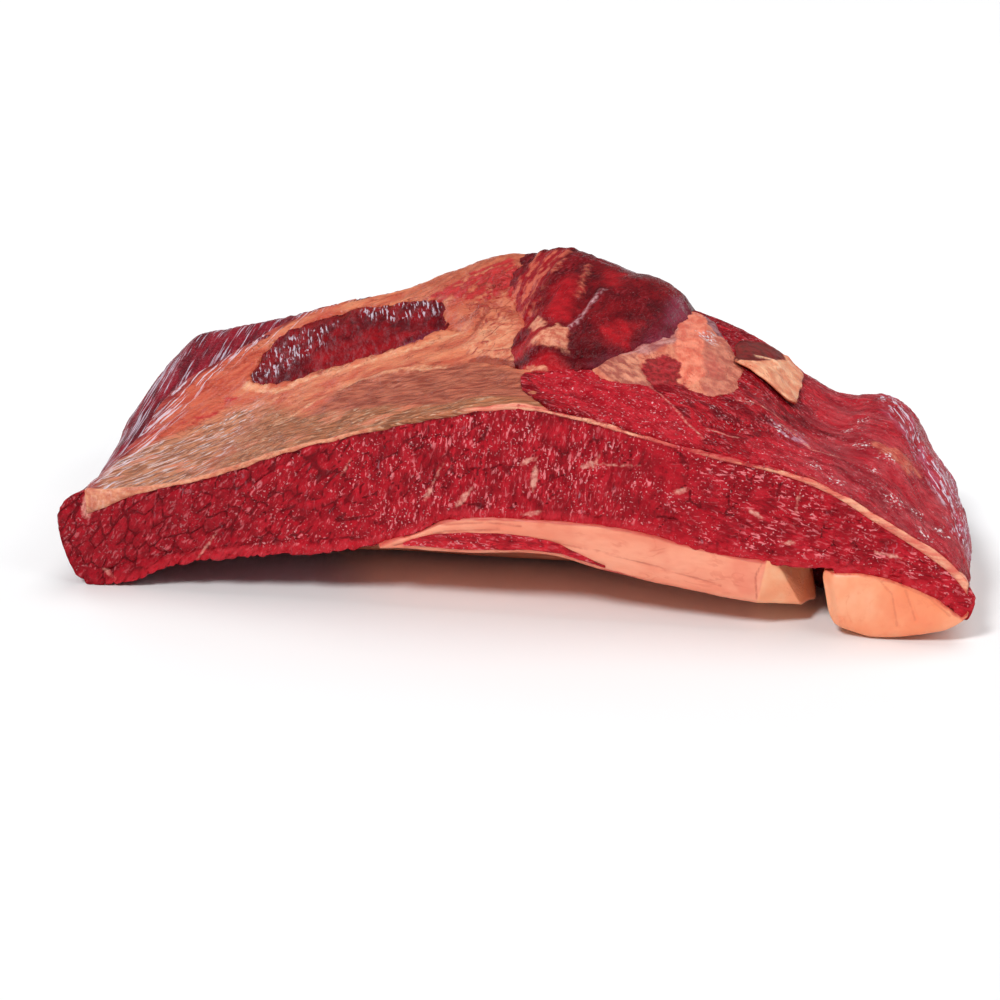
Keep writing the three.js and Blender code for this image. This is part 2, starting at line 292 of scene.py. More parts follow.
def pointTop(x, y):
    up = np.sin(clamp01((y - frontY) / 100) * math.pi / 2) ** 0.9
    swell = folds(x, y, body["pointFolds"]) * ramp(frontY, -100, y)
    return rolled(lerp(fatTopAtCut(x) + 1.4, pointCrest(x), up) + swell, x, y)


def sheetTop(x, y):
    return fatTop(x, y) - 3 * ramp(frontY, -94, y) * ramp(2, 34, x)


# How far left and right the sheet and the point reach, as shares of the width, by the share v of the
# way back
sheetLeft = curve([(0, 0.033), (0.08, 0.018), (0.17, 0.012), (0.28, 0.03), (0.4, 0.042), (0.49, 0.047),
                   (0.55, 0.058), (0.61, 0.078), (0.67, 0.107), (0.74, 0.135), (0.8, 0.17),
                   (0.84, 0.2)])
sheetRight = curve([(0, 0.991), (0.15, 0.962)])
pointLeft = curve([(0, 0.545), (0.1, 0.505), (0.3, 0.5)])
pointRight = curve([(0, 0.98), (0.07, 1)])


# The point's left border wanders where it runs under the hump, and with the height where it comes
# down the rolled back, and its lower border there wanders too
def pointBorder(v):
    height = np.sqrt(1 - near(1 - v, 0.2) ** 2)
    return (pointLeft(v) + ramp(0.4, 0.6, v) * (0.014 * np.sin(19 * v) + 0.008 * np.sin(53 * v + 1))
            + ramp(0.8, 0.9, v) * (0.022 * np.sin(8 * height) + 0.009 * np.sin(21 * height + 1)))


def pointBack(s):
    return np.minimum(1, 0.987 + 0.012 * np.sin(23 * s) + 0.007 * np.sin(57 * s + 1))


# How much a place belongs to the rolled back: 0 at 34 mm from the back's outline, 1 at 10 mm
def backMark(x, y):
    return ramp(34, 10, backSide(x) - y)


# Making meshes

# The outside of a box of cells, as arrays of u, v and w from 0 to 1 and its four-sided faces
def boxGrid(cells):
    index = np.indices([n + 1 for n in cells])
    edge = np.zeros(index.shape[1:], bool)
    for axis, n in enumerate(cells):
        edge |= (index[axis] == 0) | (index[axis] == n)
    number = np.full(edge.shape, -1)
    number[edge] = np.arange(edge.sum())

    def side(sheet, turnedOver):
        quads = np.stack([sheet[:-1, :-1], sheet[1:, :-1], sheet[1:, 1:], sheet[:-1, 1:]], axis=-1)
        quads = quads.reshape(-1, 4)
        return quads[:, ::-1] if turnedOver else quads
    faces = np.concatenate([
        side(number[:, :, -1], False), side(number[:, :, 0], True),
        side(number[:, 0, :], False), side(number[:, -1, :], True),
        side(number[-1, :, :], False), side(number[0, :, :], True)])
    u, v, w = (index[axis][edge] / n for axis, n in enumerate(cells))
    return u, v, w, faces


# Which way the surface faces at each point: the sum of the faces round it, each by its size
def facing(points, faces):
    a, b, c, d = (points[faces[:, k]] for k in range(4))
    across = np.cross(c - a, d - b)
    total = np.zeros_like(points)
    for k in range(4):
        for axis in range(3):
            total[:, axis] += np.bincount(faces[:, k], across[:, axis], len(points))
    return total / np.maximum(np.linalg.norm(total, axis=1, keepdims=True), 1e-9)


# The mesh of a layer: its points moved outward by the relief, never below the ground, with a number
# per point for each mark. It takes the place of the node of the same name
def makePiece(node, points, faces, relief, marks, material):
    points = points + facing(points, faces) * relief[:, None]
    points[:, 2] = np.maximum(points[:, 2], 0)
    mesh = bpy.data.meshes.new(node + "_surface")
    mesh.vertices.add(len(points))
    mesh.vertices.foreach_set("co", ((points + home) * millimetre).ravel())
    mesh.loops.add(faces.size)
    mesh.loops.foreach_set("vertex_index", faces.ravel().astype(np.int32))
    mesh.polygons.add(len(faces))
    mesh.polygons.foreach_set("loop_start", np.arange(0, faces.size, 4, dtype=np.int32))
    mesh.update(calc_edges=True)
    mesh.polygons.foreach_set("use_smooth", np.ones(len(faces), bool))
    for name, values in marks.items():
        mark = mesh.attributes.new(name, "FLOAT", "POINT")
        mark.data.foreach_set("value", values.astype(np.float32))
    mesh.materials.append(material)
    piece = bpy.data.objects.new(node + "_surface", mesh)
    bpy.context.scene.collection.objects.link(piece)
    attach(piece, "root")
    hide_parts(node)
    print("stage:", node, "made,", 2 * len(faces), "triangles")


# Spacing of the grid lines: closer at both ends, and closer at the front
def closeAtEnds(t, share=0.35):
    return t - share * np.sin(2 * math.pi * t) / (2 * math.pi)


def closeAtFront(t, power=1.2):
    return t ** power


# A layer over the plan, between left and right reaches that go by v and a back one that goes by s.
# Returns places, the height share w, faces, and the even shares s across and t back
def layerGrid(cells, reachLeft, reachRight, reachBack):
    s, t, w, faces = boxGrid(cells)
    v = reachBack(s) * closeAtFront(t)
    u = lerp(reachLeft(v), reachRight(v), closeAtEnds(s))
    x, y = onPlan(u, v)
    return x, y, w, faces, s, t


# A pad's grid: a square of cells drawn out to a round outline, whose reach from the centre goes by
# the angle in degrees, with a ragged edge. Returns places, the height share w, faces and how far out
def padGrid(cells, pad, ragged, seed):
    u, v, w, faces = boxGrid(cells)
    a, b = 2 * u - 1, 2 * v - 1
    p, q = a * np.sqrt(1 - b * b / 2), b * np.sqrt(1 - a * a / 2)
    far = padReach(p, q, pad)
    out = np.minimum(1, np.hypot(p, q))
    x, y = pad["centre"][0] + far * p, pad["centre"][1] + far * q
    edge = rough(np.stack([x, y, 0 * x], axis=1), 7, 3, seed) * ragged * out ** 3
    return x + edge * p, y + edge * q, w, faces, out


def padReach(p, q, pad):
    outline = pad["outline"]
    whole = [(outline[-1][0] - 360, outline[-1][1])] + outline + [(outline[0][0] + 360, outline[0][1])]
    return curve(whole)(np.degrees(np.arctan2(q, p)) % 360)


# How far out a place is in a pad's outline: 0 at its centre, 1 on its edge
def outIn(x, y, pad):
    p, q = x - pad["centre"][0], y - pad["centre"][1]
    return np.hypot(p, q) / padReach(p, q, pad)


# Materials

# A socket that can be written into sums
class Wire:
    def __init__(self, shade, socket):
        self.shade, self.socket = shade, socket

    def maths(self, operation, first, second):
        return self.shade.node("ShaderNodeMath", {"operation": operation}, {0: first, 1: second})

    def __add__(self, other):
        return self.maths("ADD", self, other)

    def __radd__(self, other):
        return self.maths("ADD", other, self)

    def __sub__(self, other):
        return self.maths("SUBTRACT", self, other)

    def __mul__(self, other):
        return self.maths("MULTIPLY", self, other)

    # 0 below low, 1 above high
    def ramp(self, low, high):
        return self.shade.node("ShaderNodeMapRange", {"interpolation_type": "SMOOTHSTEP"},
                               {"Value": self, "From Min": low, "From Max": high})

    # Thin lines: 1 where the value is at its middle, 0 when it is width away from that
    def lines(self, width):
        return self.maths("ABSOLUTE", self - 0.5, 0).ramp(width, width * 0.25)


# A colour given as on a screen, 0 to 255, as light
def tone(red, green, blue):
    parts = [c / 255 for c in (red, green, blue)]
    return tuple(c / 12.92 if c < 0.04045 else ((c + 0.055) / 1.055) ** 2.4 for c in parts) + (1,)


# The nodes of one material, with sizes in millimetres
class Shade:
    def __init__(self, name):
        self.material = bpy.data.materials.new(name)
        self.material.use_nodes = True
        self.tree = self.material.node_tree
        self.tree.nodes.clear()
        self.here = self.node("ShaderNodeTexCoord", {}, {}, "Object")

    def node(self, kind, settings, inputs, output=0):
        made = self.tree.nodes.new(kind)
        for name, value in settings.items():
            setattr(made, name, value)
        for name, value in inputs.items():
            if isinstance(value, Wire):
                self.tree.links.new(value.socket, made.inputs[name])
            else:
                made.inputs[name].default_value = value
        return Wire(self, made.outputs[output]) if made.outputs else None

    def mark(self, name):
        return self.node("ShaderNodeAttribute", {"attribute_name": name}, {}, "Fac")

    # Object coordinates in units of size millimetres, drawn out along axes that are turned
    def place(self, size, stretch, turn):
        return self.node("ShaderNodeMapping", {"vector_type": "TEXTURE"}, {
            "Vector": self.here, "Rotation": [math.radians(t) for t in turn],
            "Scale": [size * s * millimetre for s in stretch]})

    # Cloudy noise about 0.5
    def cloud(self, size, stretch=(1, 1, 1), turn=(0, 0, 0), detail=2, twist=0):
        return self.node("ShaderNodeTexNoise", {}, {
            "Vector": self.place(size, stretch, turn), "Scale": 1, "Detail": detail,
            "Roughness": 0.55, "Distortion": twist}, "Fac")

    def mix(self, factor, first, second):
        return self.node("ShaderNodeMix", {"data_type": "RGBA"}, {0: factor, 6: first, 7: second}, 2)

    # The wet surface: colour, roughness and height vary, the rest is one number all over
    def finish(self, colour, roughness, height, look):
        normal = self.node("ShaderNodeBump", {}, {
            "Strength": 1, "Distance": look["depth"] * millimetre, "Height": height}, "Normal")
        skin = self.node("ShaderNodeBsdfPrincipled", {"subsurface_method": "RANDOM_WALK"}, {
            "Base Color": colour, "Roughness": roughness, "Normal": normal,
            "IOR": 1.42, "Specular IOR Level": look["shine"],
            "Subsurface Weight": look["depthOfLight"], "Subsurface Radius": (1, 0.3, 0.2),
            "Subsurface Scale": 2 * millimetre}, "BSDF")
        self.node("ShaderNodeOutputMaterial", {}, {"Surface": skin})
        return self.material


# Streaks whose run changes along the long cut: leaning at its left, upright in its middle and lying
# at its right. A layer with one run has it all over
def streaks(shade, look, size, detail=3, twist=0):
    if "runs" not in look:
        return shade.cloud(size, look["stretch"], look["turn"], detail, twist=twist)
    left, middle, right = (shade.cloud(size, look["stretch"], (0, turn, 0), detail, twist=twist)
                           for turn in look["runs"])
    along = shade.mark("along")
    both = left + (middle - left) * along.ramp(0.22, 0.42)
    return both + (right - both) * along.ramp(0.58, 0.76)


# Lean: mottled reds, lighter red where the bundles of fibre stand up, painted shade where the
# bundles, the grain and fine slits lie low, and pale strokes and specks on them that are partly tissue
# and partly painted wet glints. Returns the colour, the height of the grain and how much each place
# shines less
def leanGround(shade, look):
    mottle = shade.cloud(look["mottle"], detail=4)
    colour = shade.mix(mottle.ramp(0.36, 0.64), tone(*look["dark"]), tone(*look["red"]))
    bundle = streaks(shade, look, look["bundle"], 2, 0.5)
    # painted shade: deep red where the bundles lie low
    colour = shade.mix(bundle.ramp(0.48, 0.3) * look["shadow"], colour, tone(*look["deep"]))
    colour = shade.mix(bundle.ramp(0.5, 0.68) * look["glow"], colour, tone(*look["bright"]))
    grain = streaks(shade, look, look["grain"])
    colour = shade.mix(grain.ramp(0.44, 0.3) * look["shadow"], colour, tone(*look["deep"]))
    where = shade.cloud(look["patch"], detail=3).ramp(0.36, 0.6)
    fine = streaks(shade, look, look["stroke"], 1, 0.4)
    colour = shade.mix(fine.ramp(0.42, 0.3) * look["shadow"], colour, tone(*look["deep"]))
    stroke = fine.ramp(0.58, 0.68) * (where * 0.8 + 0.2)
    speck = shade.cloud(look["stroke"] * 0.8, detail=0).ramp(0.68, 0.8) * where
    # pale strokes and white specks: partly tissue, partly painted wet glints
    colour = shade.mix(stroke * look["strokes"], colour, tone(*look["pale"]))
    colour = shade.mix(speck * look["strokes"], colour, tone(*look["white"]))
    height = grain + bundle * 1.4 + fine * 0.5 + speck * 0.4
    return colour, height, grain * 0.4 - stroke * 0.12


# Fat: soft warm colours in long streaks, with fine fibres and thin wrinkle lines pressed into them;
# where the grain lies low and along the wrinkles it is painted darker, as painted shade
def fatGround(shade, look):
    mottle = shade.cloud(look["mottle"], look["stretch"], look["turn"], detail=4)
    colour = shade.mix(mottle.ramp(0.35, 0.66), tone(*look["warm"]), tone(*look["light"]))
    grain = shade.cloud(look["grain"], look["stretch"], look["turn"], detail=3)
    colour = shade.mix(grain.ramp(0.5, 0.3) * look["shadow"], colour, tone(*look["deep"]))
    blush = shade.cloud(look["blushSize"], detail=3).ramp(0.54, 0.7)
    colour = shade.mix(blush * look["blush"], colour, tone(*look["rose"]))
    wrinkle = shade.cloud(look.get("wrinkle", 7), look["stretch"], look["turn"], 3, twist=0.6)
    wrinkle = wrinkle.lines(0.03)
    where = shade.cloud(look["blushSize"] * 0.7, detail=2).ramp(0.45, 0.6)
    wrinkle = wrinkle * where * look.get("wrinkles", 0.4)
    colour = shade.mix(wrinkle, colour, tone(*look["deep"]))
    return colour, grain * 0.8 + mottle * 0.6 - wrinkle * 0.7, mottle * 0.15


# A finish laid over the ground where its mark says so: two colours in streaks of a size in
# millimetres, a ragged border with a soft edge, and its share of the colour below. One with gaps shows
# only in its stronger streaks, and one with lines only in thin lines that stand up
usualLayer = {
    "streak": 3, "stretch": (1, 1, 1), "turn": (0, 0, 0), "contrast": (0.36, 0.64), "ragged": 0.5,
    "raggedSize": 5, "edge": 0.05, "lift": 0, "amount": 1, "gaps": None, "lines": None}


def layer(mark, first, second, **unusual):
    return {**usualLayer, "mark": mark, "colours": (tone(*first), tone(*second)), **unusual}


# Lays the finishes over the colour in turn; returns it and how much each place is raised
def layOver(shade, colour, layers):
    raised = 0
    for own in layers:
        run = own["stretch"], own["turn"]
        streak = shade.cloud(own["streak"], *run, 1 if own["lines"] else 3)
        ragged = shade.cloud(own["raggedSize"], *run, detail=3)
        level = shade.mark(own["mark"]) + (ragged - 0.5) * own["ragged"] + own["lift"]
        cover = level.ramp(0.5 - own["edge"], 0.5 + own["edge"]) * own["amount"]
        if own["gaps"]:
            cover = cover * streak.ramp(*own["gaps"])
        if own["lines"]:
            fine = shade.cloud(own["streak"] * 0.45, *run, detail=0)
            thin = streak.lines(own["lines"]) + fine.lines(own["lines"]) * 0.6
            cover = cover * thin.ramp(0, 1) * ragged.ramp(0.36, 0.56)
            raised = raised + cover * 0.5
        colour = shade.mix(cover, colour, shade.mix(streak.ramp(*own["contrast"]), *own["colours"]))
    return colour, raised


# A material: a piece's ground with its layers over it
def makeMaterial(name, ground, piece):
    shade, look = Shade(name), piece["look"]
    colour, height, dullness = ground(shade, look)
    colour, raised = layOver(shade, colour, piece.get("layers", ()))
    return shade.finish(colour, dullness + look["rough"], height + raised, look)


# The rolled back of the flat and the point: lean with patches of fat and thin silvery strands of
# silverskin, whose whitish tone is partly painted sheen
backLayers = [
    layer("back", (110, 14, 26), (160, 40, 50), streak=3, stretch=(9, 1, 1), turn=(0, 4, 0),
          ragged=0.6, raggedSize=9, edge=0.3, amount=0.8),
    layer("back", (178, 84, 66), (222, 142, 110), streak=3, stretch=(5, 2, 1), turn=(0, 6, 0),
          ragged=3.4, raggedSize=14, edge=0.2, amount=0.85, lift=-0.7),
    # silverskin strands, their whitish tone partly painted sheen
    layer("back", (140, 96, 110), (200, 170, 180), streak=1.2, stretch=(34, 4, 1), turn=(0, 5, 0),
          ragged=1.2, raggedSize=8, edge=0.3, gaps=(0.55, 0.66), amount=0.5),
]


# The flat muscle: the long cut across its grain, and its bare dark flank under silverskin

flat = {
    "cells": (430, 40, 64),
    "tile": (6.5, 10.5),        # width and height of the blocks between the cracks of the cut
    "crackDepth": 0.9,
    "strandHeight": 0.5,        # silverskin strands on the flank
    "sunk": 0.8,                # how far its bare top lies under the height that the fat has
    "under": 3,                 # how much farther it lies down under the layers that cover it
    "lap": 1,                   # how far it dips into the fat below it
    "curl": [(-196, 8), (-170, 17), (-140, 23), (-112, 27), (-92, 32)],
    "waves": (36, 62, 13, 9, 5.6, 0.8),   # x, z, half width, half height, spacing, height
    "flecks": [                 # fat in the cut: x, z, length, width, turn in degrees
        (-38, 58, 7, 2.4, 60), (-21, 57, 10, 2.4, 52), (9, 77, 7, 2, 25), (12, 69, 13, 3, 82),
        (37, 77, 7, 2.2, 30), (41, 79, 6, 1, 65), (48, 78, 15, 0.8, 0), (11, 51.5, 8, 2, 15),
        (80, 67, 6, 2.2, 20), (115, 58, 7, 2, -30), (134, 65, 9, 0.9, 85), (131, 45, 4, 1.5, 10),
        (176, 42, 10, 1.6, -10), (-204, 41, 13, 6, 80), (-196, 7, 6, 1.6, -40),
        (-146, 24, 9, 0.8, 55), (-34, 67, 9, 0.9, 66), (-78, 67, 6, 0.8, 62)],
    "look": dict(mottle=8, grain=1.7, stretch=(1, 1, 3), runs=(34, 8, 104), stroke=1.25, patch=13,
                 strokes=0.85, shadow=0.5, bundle=3.4, glow=0.5, dark=(148, 10, 26), red=(182, 20, 36),
                 deep=(102, 2, 14), bright=(208, 38, 54), pale=(246, 136, 142), white=(250, 176, 178),
                 rough=0.14, depth=0.9, depthOfLight=0, shine=0.16),
    "layers": [
        layer("dim", (120, 6, 20), (164, 18, 34), streak=2.6, ragged=0.7, raggedSize=10, edge=0.45,
              amount=0.6),
        # painted shade: the cracks of the cut darker red
        layer("crack", (92, 2, 12), (118, 6, 20), ragged=0.3, raggedSize=3, edge=0.25, amount=0.85),
        # painted sheen: brighter red along the low edge of the cut
        layer("lowSheen", (184, 20, 34), (206, 44, 56), streak=5, ragged=0.4, edge=0.15, amount=0.7),
        layer("fleck", (214, 118, 110), (244, 176, 158), streak=2, ragged=0.4, raggedSize=2.2,
              edge=0.1, amount=0.8),
        layer("flank", (84, 6, 22), (136, 16, 36), streak=4, stretch=(1, 10, 1), edge=0.2, amount=0.9),
        *backLayers,
        # silverskin strands on the flank, their pale lavender partly painted sheen
        layer("silverskinAndSheen", (132, 92, 116), (214, 200, 216), streak=1.2, stretch=(1, 40, 3),
              turn=(8, 0, -3), ragged=1.8, raggedSize=7, edge=0.35, amount=0.7, gaps=(0.54, 0.63)),
    ],
}
slabLeft = curve([(-112, -61), (-60, -90), (0, -130), (70, -150)])
slabRight = curve([(-112, 127), (-92, 136), (-80, 138), (40, 128)])
slabBack = curve([(-150, 74), (-60, 84), (40, 66), (138, 30)])
lump = {"left": 146, "back": 24}
notch = {"left": 123, "right": 152, "back": -64, "roof": 33.5}


def slabTop(x, y):
    return lerp(leanBottomAtCut(x), 13, ramp(frontY, -20, y))


def lumpTop(x, y):
    return lerp(leanBottomAtCut(x), 14, ramp(frontY, 10, y))


# The underside of the flat muscle: over the slab, the lump and the notch it is raised to their tops
def flatBottom(x, y):
    onSlab = (ramp(-2, 2, x - slabLeft(y)) * ramp(-2, 2, slabRight(y) - x)
              * ramp(-2, 2, slabBack(x) - y))
    onLump = (ramp(-1, 1, x - lump["left"]) * ramp(-2, 2, rightSide(y) - 2 - x)
              * ramp(-2, 2, lump["back"] - y))
    onNotch = (ramp(-1, 1, x - notch["left"]) * ramp(-1, 1, notch["right"] - x)
               * ramp(-1.5, 1.5, notch["back"] - y))
    low = lerp(bodyBottom(x, y), slabTop(x, y) - flat["lap"], onSlab)
    low = lerp(low, lumpTop(x, y) - flat["lap"], onLump)
    return lerp(low, notch["roof"], onNotch)


def makeFlat():
    x, y, w, faces, s, t = layerGrid(flat["cells"], lambda v: 0 * v, lambda v: 0 * v + 1,
                                     lambda s: 0 * s + 1)
    u, v = closeAtEnds(s), closeAtFront(t)
    covered = np.maximum(ramp(0.01, 0.04, u - sheetLeft(v)) * ramp(0.84, 0.78, v),
                         ramp(0.01, 0.04, u - pointBorder(v)) * ramp(1, 0.96, v))
    top = fatTop(x, y) - flat["sunk"] - flat["under"] * covered * ramp(frontY + 1, frontY + 14, y)
    z = lerp(flatBottom(x, y), top, w)
    points = np.stack([x, y, z], axis=1)
    cut = ramp(frontY + 2.5, frontY + 0.5, y)
    flank = ramp(frontY + 1, frontY + 7, y)

    # blocks that the cut has cracked into, most at the left, on bundles that run as the shader's
    warp = 2.5 * rough(points, 12, 2, 3)
    block = tiles((x + warp - 0.3 * z) / flat["tile"][0], (z + warp) / flat["tile"][1], 11)
    some = ramp(0.1, 0.6, noise(points, 11, 5) + 0.6 * ramp(60, -90, x) + 0.1)
    crack = np.exp(-(block / 0.1) ** 2) * some * cut
    cx, cz, halfWidth, halfHeight, spacing, height = flat["waves"]
    bow = ((z - cz) / halfHeight) ** 2
    waves = height * np.sin((x - cx + 2.5 * bow) * 2 * math.pi / spacing + 2 * noise(points, 14, 6))
    waves = waves * np.exp(-((x - cx) / halfWidth) ** 2 - bow)
    upright = noise(points, (4.6, 9, 16), 7) * ramp(-190, -120, x) * ramp(140, 50, x)
    curled = fromLine(x, z, flat["curl"])
    strand = noise(points, (2.6, 45, 2.6), 21) + 0.6 * noise(points, (1.5, 30, 1.5), 22)
    relief = (cut * (0.8 * rough(points, 26, 3, 1) + 0.42 * noise(points, 3.2, 8) + 0.9 * upright
                     + waves - 1.1 * np.exp(-(curled / 1.4) ** 2) * ramp(-80, -100, x))
              - crack * flat["crackDepth"]
              + flank * (flat["strandHeight"] * strand + 0.7 * rough(points, 30, 2, 9)))
    flecks = []
    for cx, cz, length, width, turn in flat["flecks"]:
        along, across = alongAcross(x, z, cx, cz, turn)
        taper = 1 - np.hypot(2 * along / length, 2 * across / width)
        flecks.append(edgeMark(taper * width))
    lower = z - flatBottom(x, y)
    back = backMark(x, y)
    marks = {
        "crack": crack, "fleck": np.max(flecks, axis=0) * cut, "flank": flank,
        "silverskinAndSheen": flank * (1 - back) * lerp(0.9, 0.3, ramp(0, 150, x)),
        "back": flank * back,
        "dim": cut * ramp(-70, -170, x), "along": (x + halfLength) / (2 * halfLength),
        "lowSheen": cut * edgeMark(5 - lower) * ramp(-205, -190, x)}
    material = makeMaterial("cutLean", leanGround, flat)
    makePiece("flat_muscle", points, faces, relief, marks, material)


# The sheet of fat over the flat muscle, with the window in it and the seam that runs on under the
# point

# The dark wrinkled muscle in the window; its outline is the window's too
strip = {
    "cells": (110, 90, 6),
    "past": 0.06,               # how far it runs on past the window's outline, as a share
    "sunk": 1.8,                # how far its edge lies under the fat's top
    "swell": 3,
    "centre": (-106, 28),
    "outline": [(0, 50), (35, 40), (72, 35), (95, 35), (127, 39), (155, 46), (185, 49), (207, 52),
                (228, 44), (250, 35), (275, 32), (308, 38), (335, 52)],
    "look": dict(mottle=16, grain=2.2, stretch=(1, 3, 1), turn=(0, 0, 12), stroke=1.6, patch=12,
                 strokes=0.15, shadow=0.5, bundle=5, glow=0.3, dark=(92, 4, 14), red=(132, 8, 18),
                 deep=(58, 0, 8), bright=(156, 16, 26), pale=(180, 80, 94), white=(206, 140, 150),
                 rough=0.16, depth=0.8, depthOfLight=0, shine=0.1),
    # patches of silverskin, their pale tone partly painted sheen
    "silverskinAndSheen": [[(-160, 12), (-150, 34), (-133, 50), (-118, 46), (-122, 24), (-136, 10), (-148, 4)],
               [(-104, 66), (-84, 62), (-58, 42), (-64, 26), (-84, 34), (-104, 48)]],
    "glow": [(-126, 6), (-112, 24), (-84, 24), (-66, 10), (-90, -2), (-112, -4)],
    "purple": [(-90, -10), (-72, -2), (-56, 5), (-44, 6)],
    "layers": [
        layer("purple", (96, 18, 40), (136, 56, 80), streak=6, ragged=0.5, edge=0.16, amount=0.75),
        # silverskin on the muscle, its pale lavender partly painted sheen
        layer("silverskinAndSheen", (138, 88, 110), (224, 210, 224), streak=1.2, stretch=(1, 14, 1),
              turn=(0, 0, 14), ragged=1.8, raggedSize=6, edge=0.3, gaps=(0.55, 0.62), amount=0.7),
        layer("glow", (130, 8, 18), (166, 18, 26), streak=7, ragged=1, raggedSize=8, edge=0.3,
              amount=0.5),
    ],
}
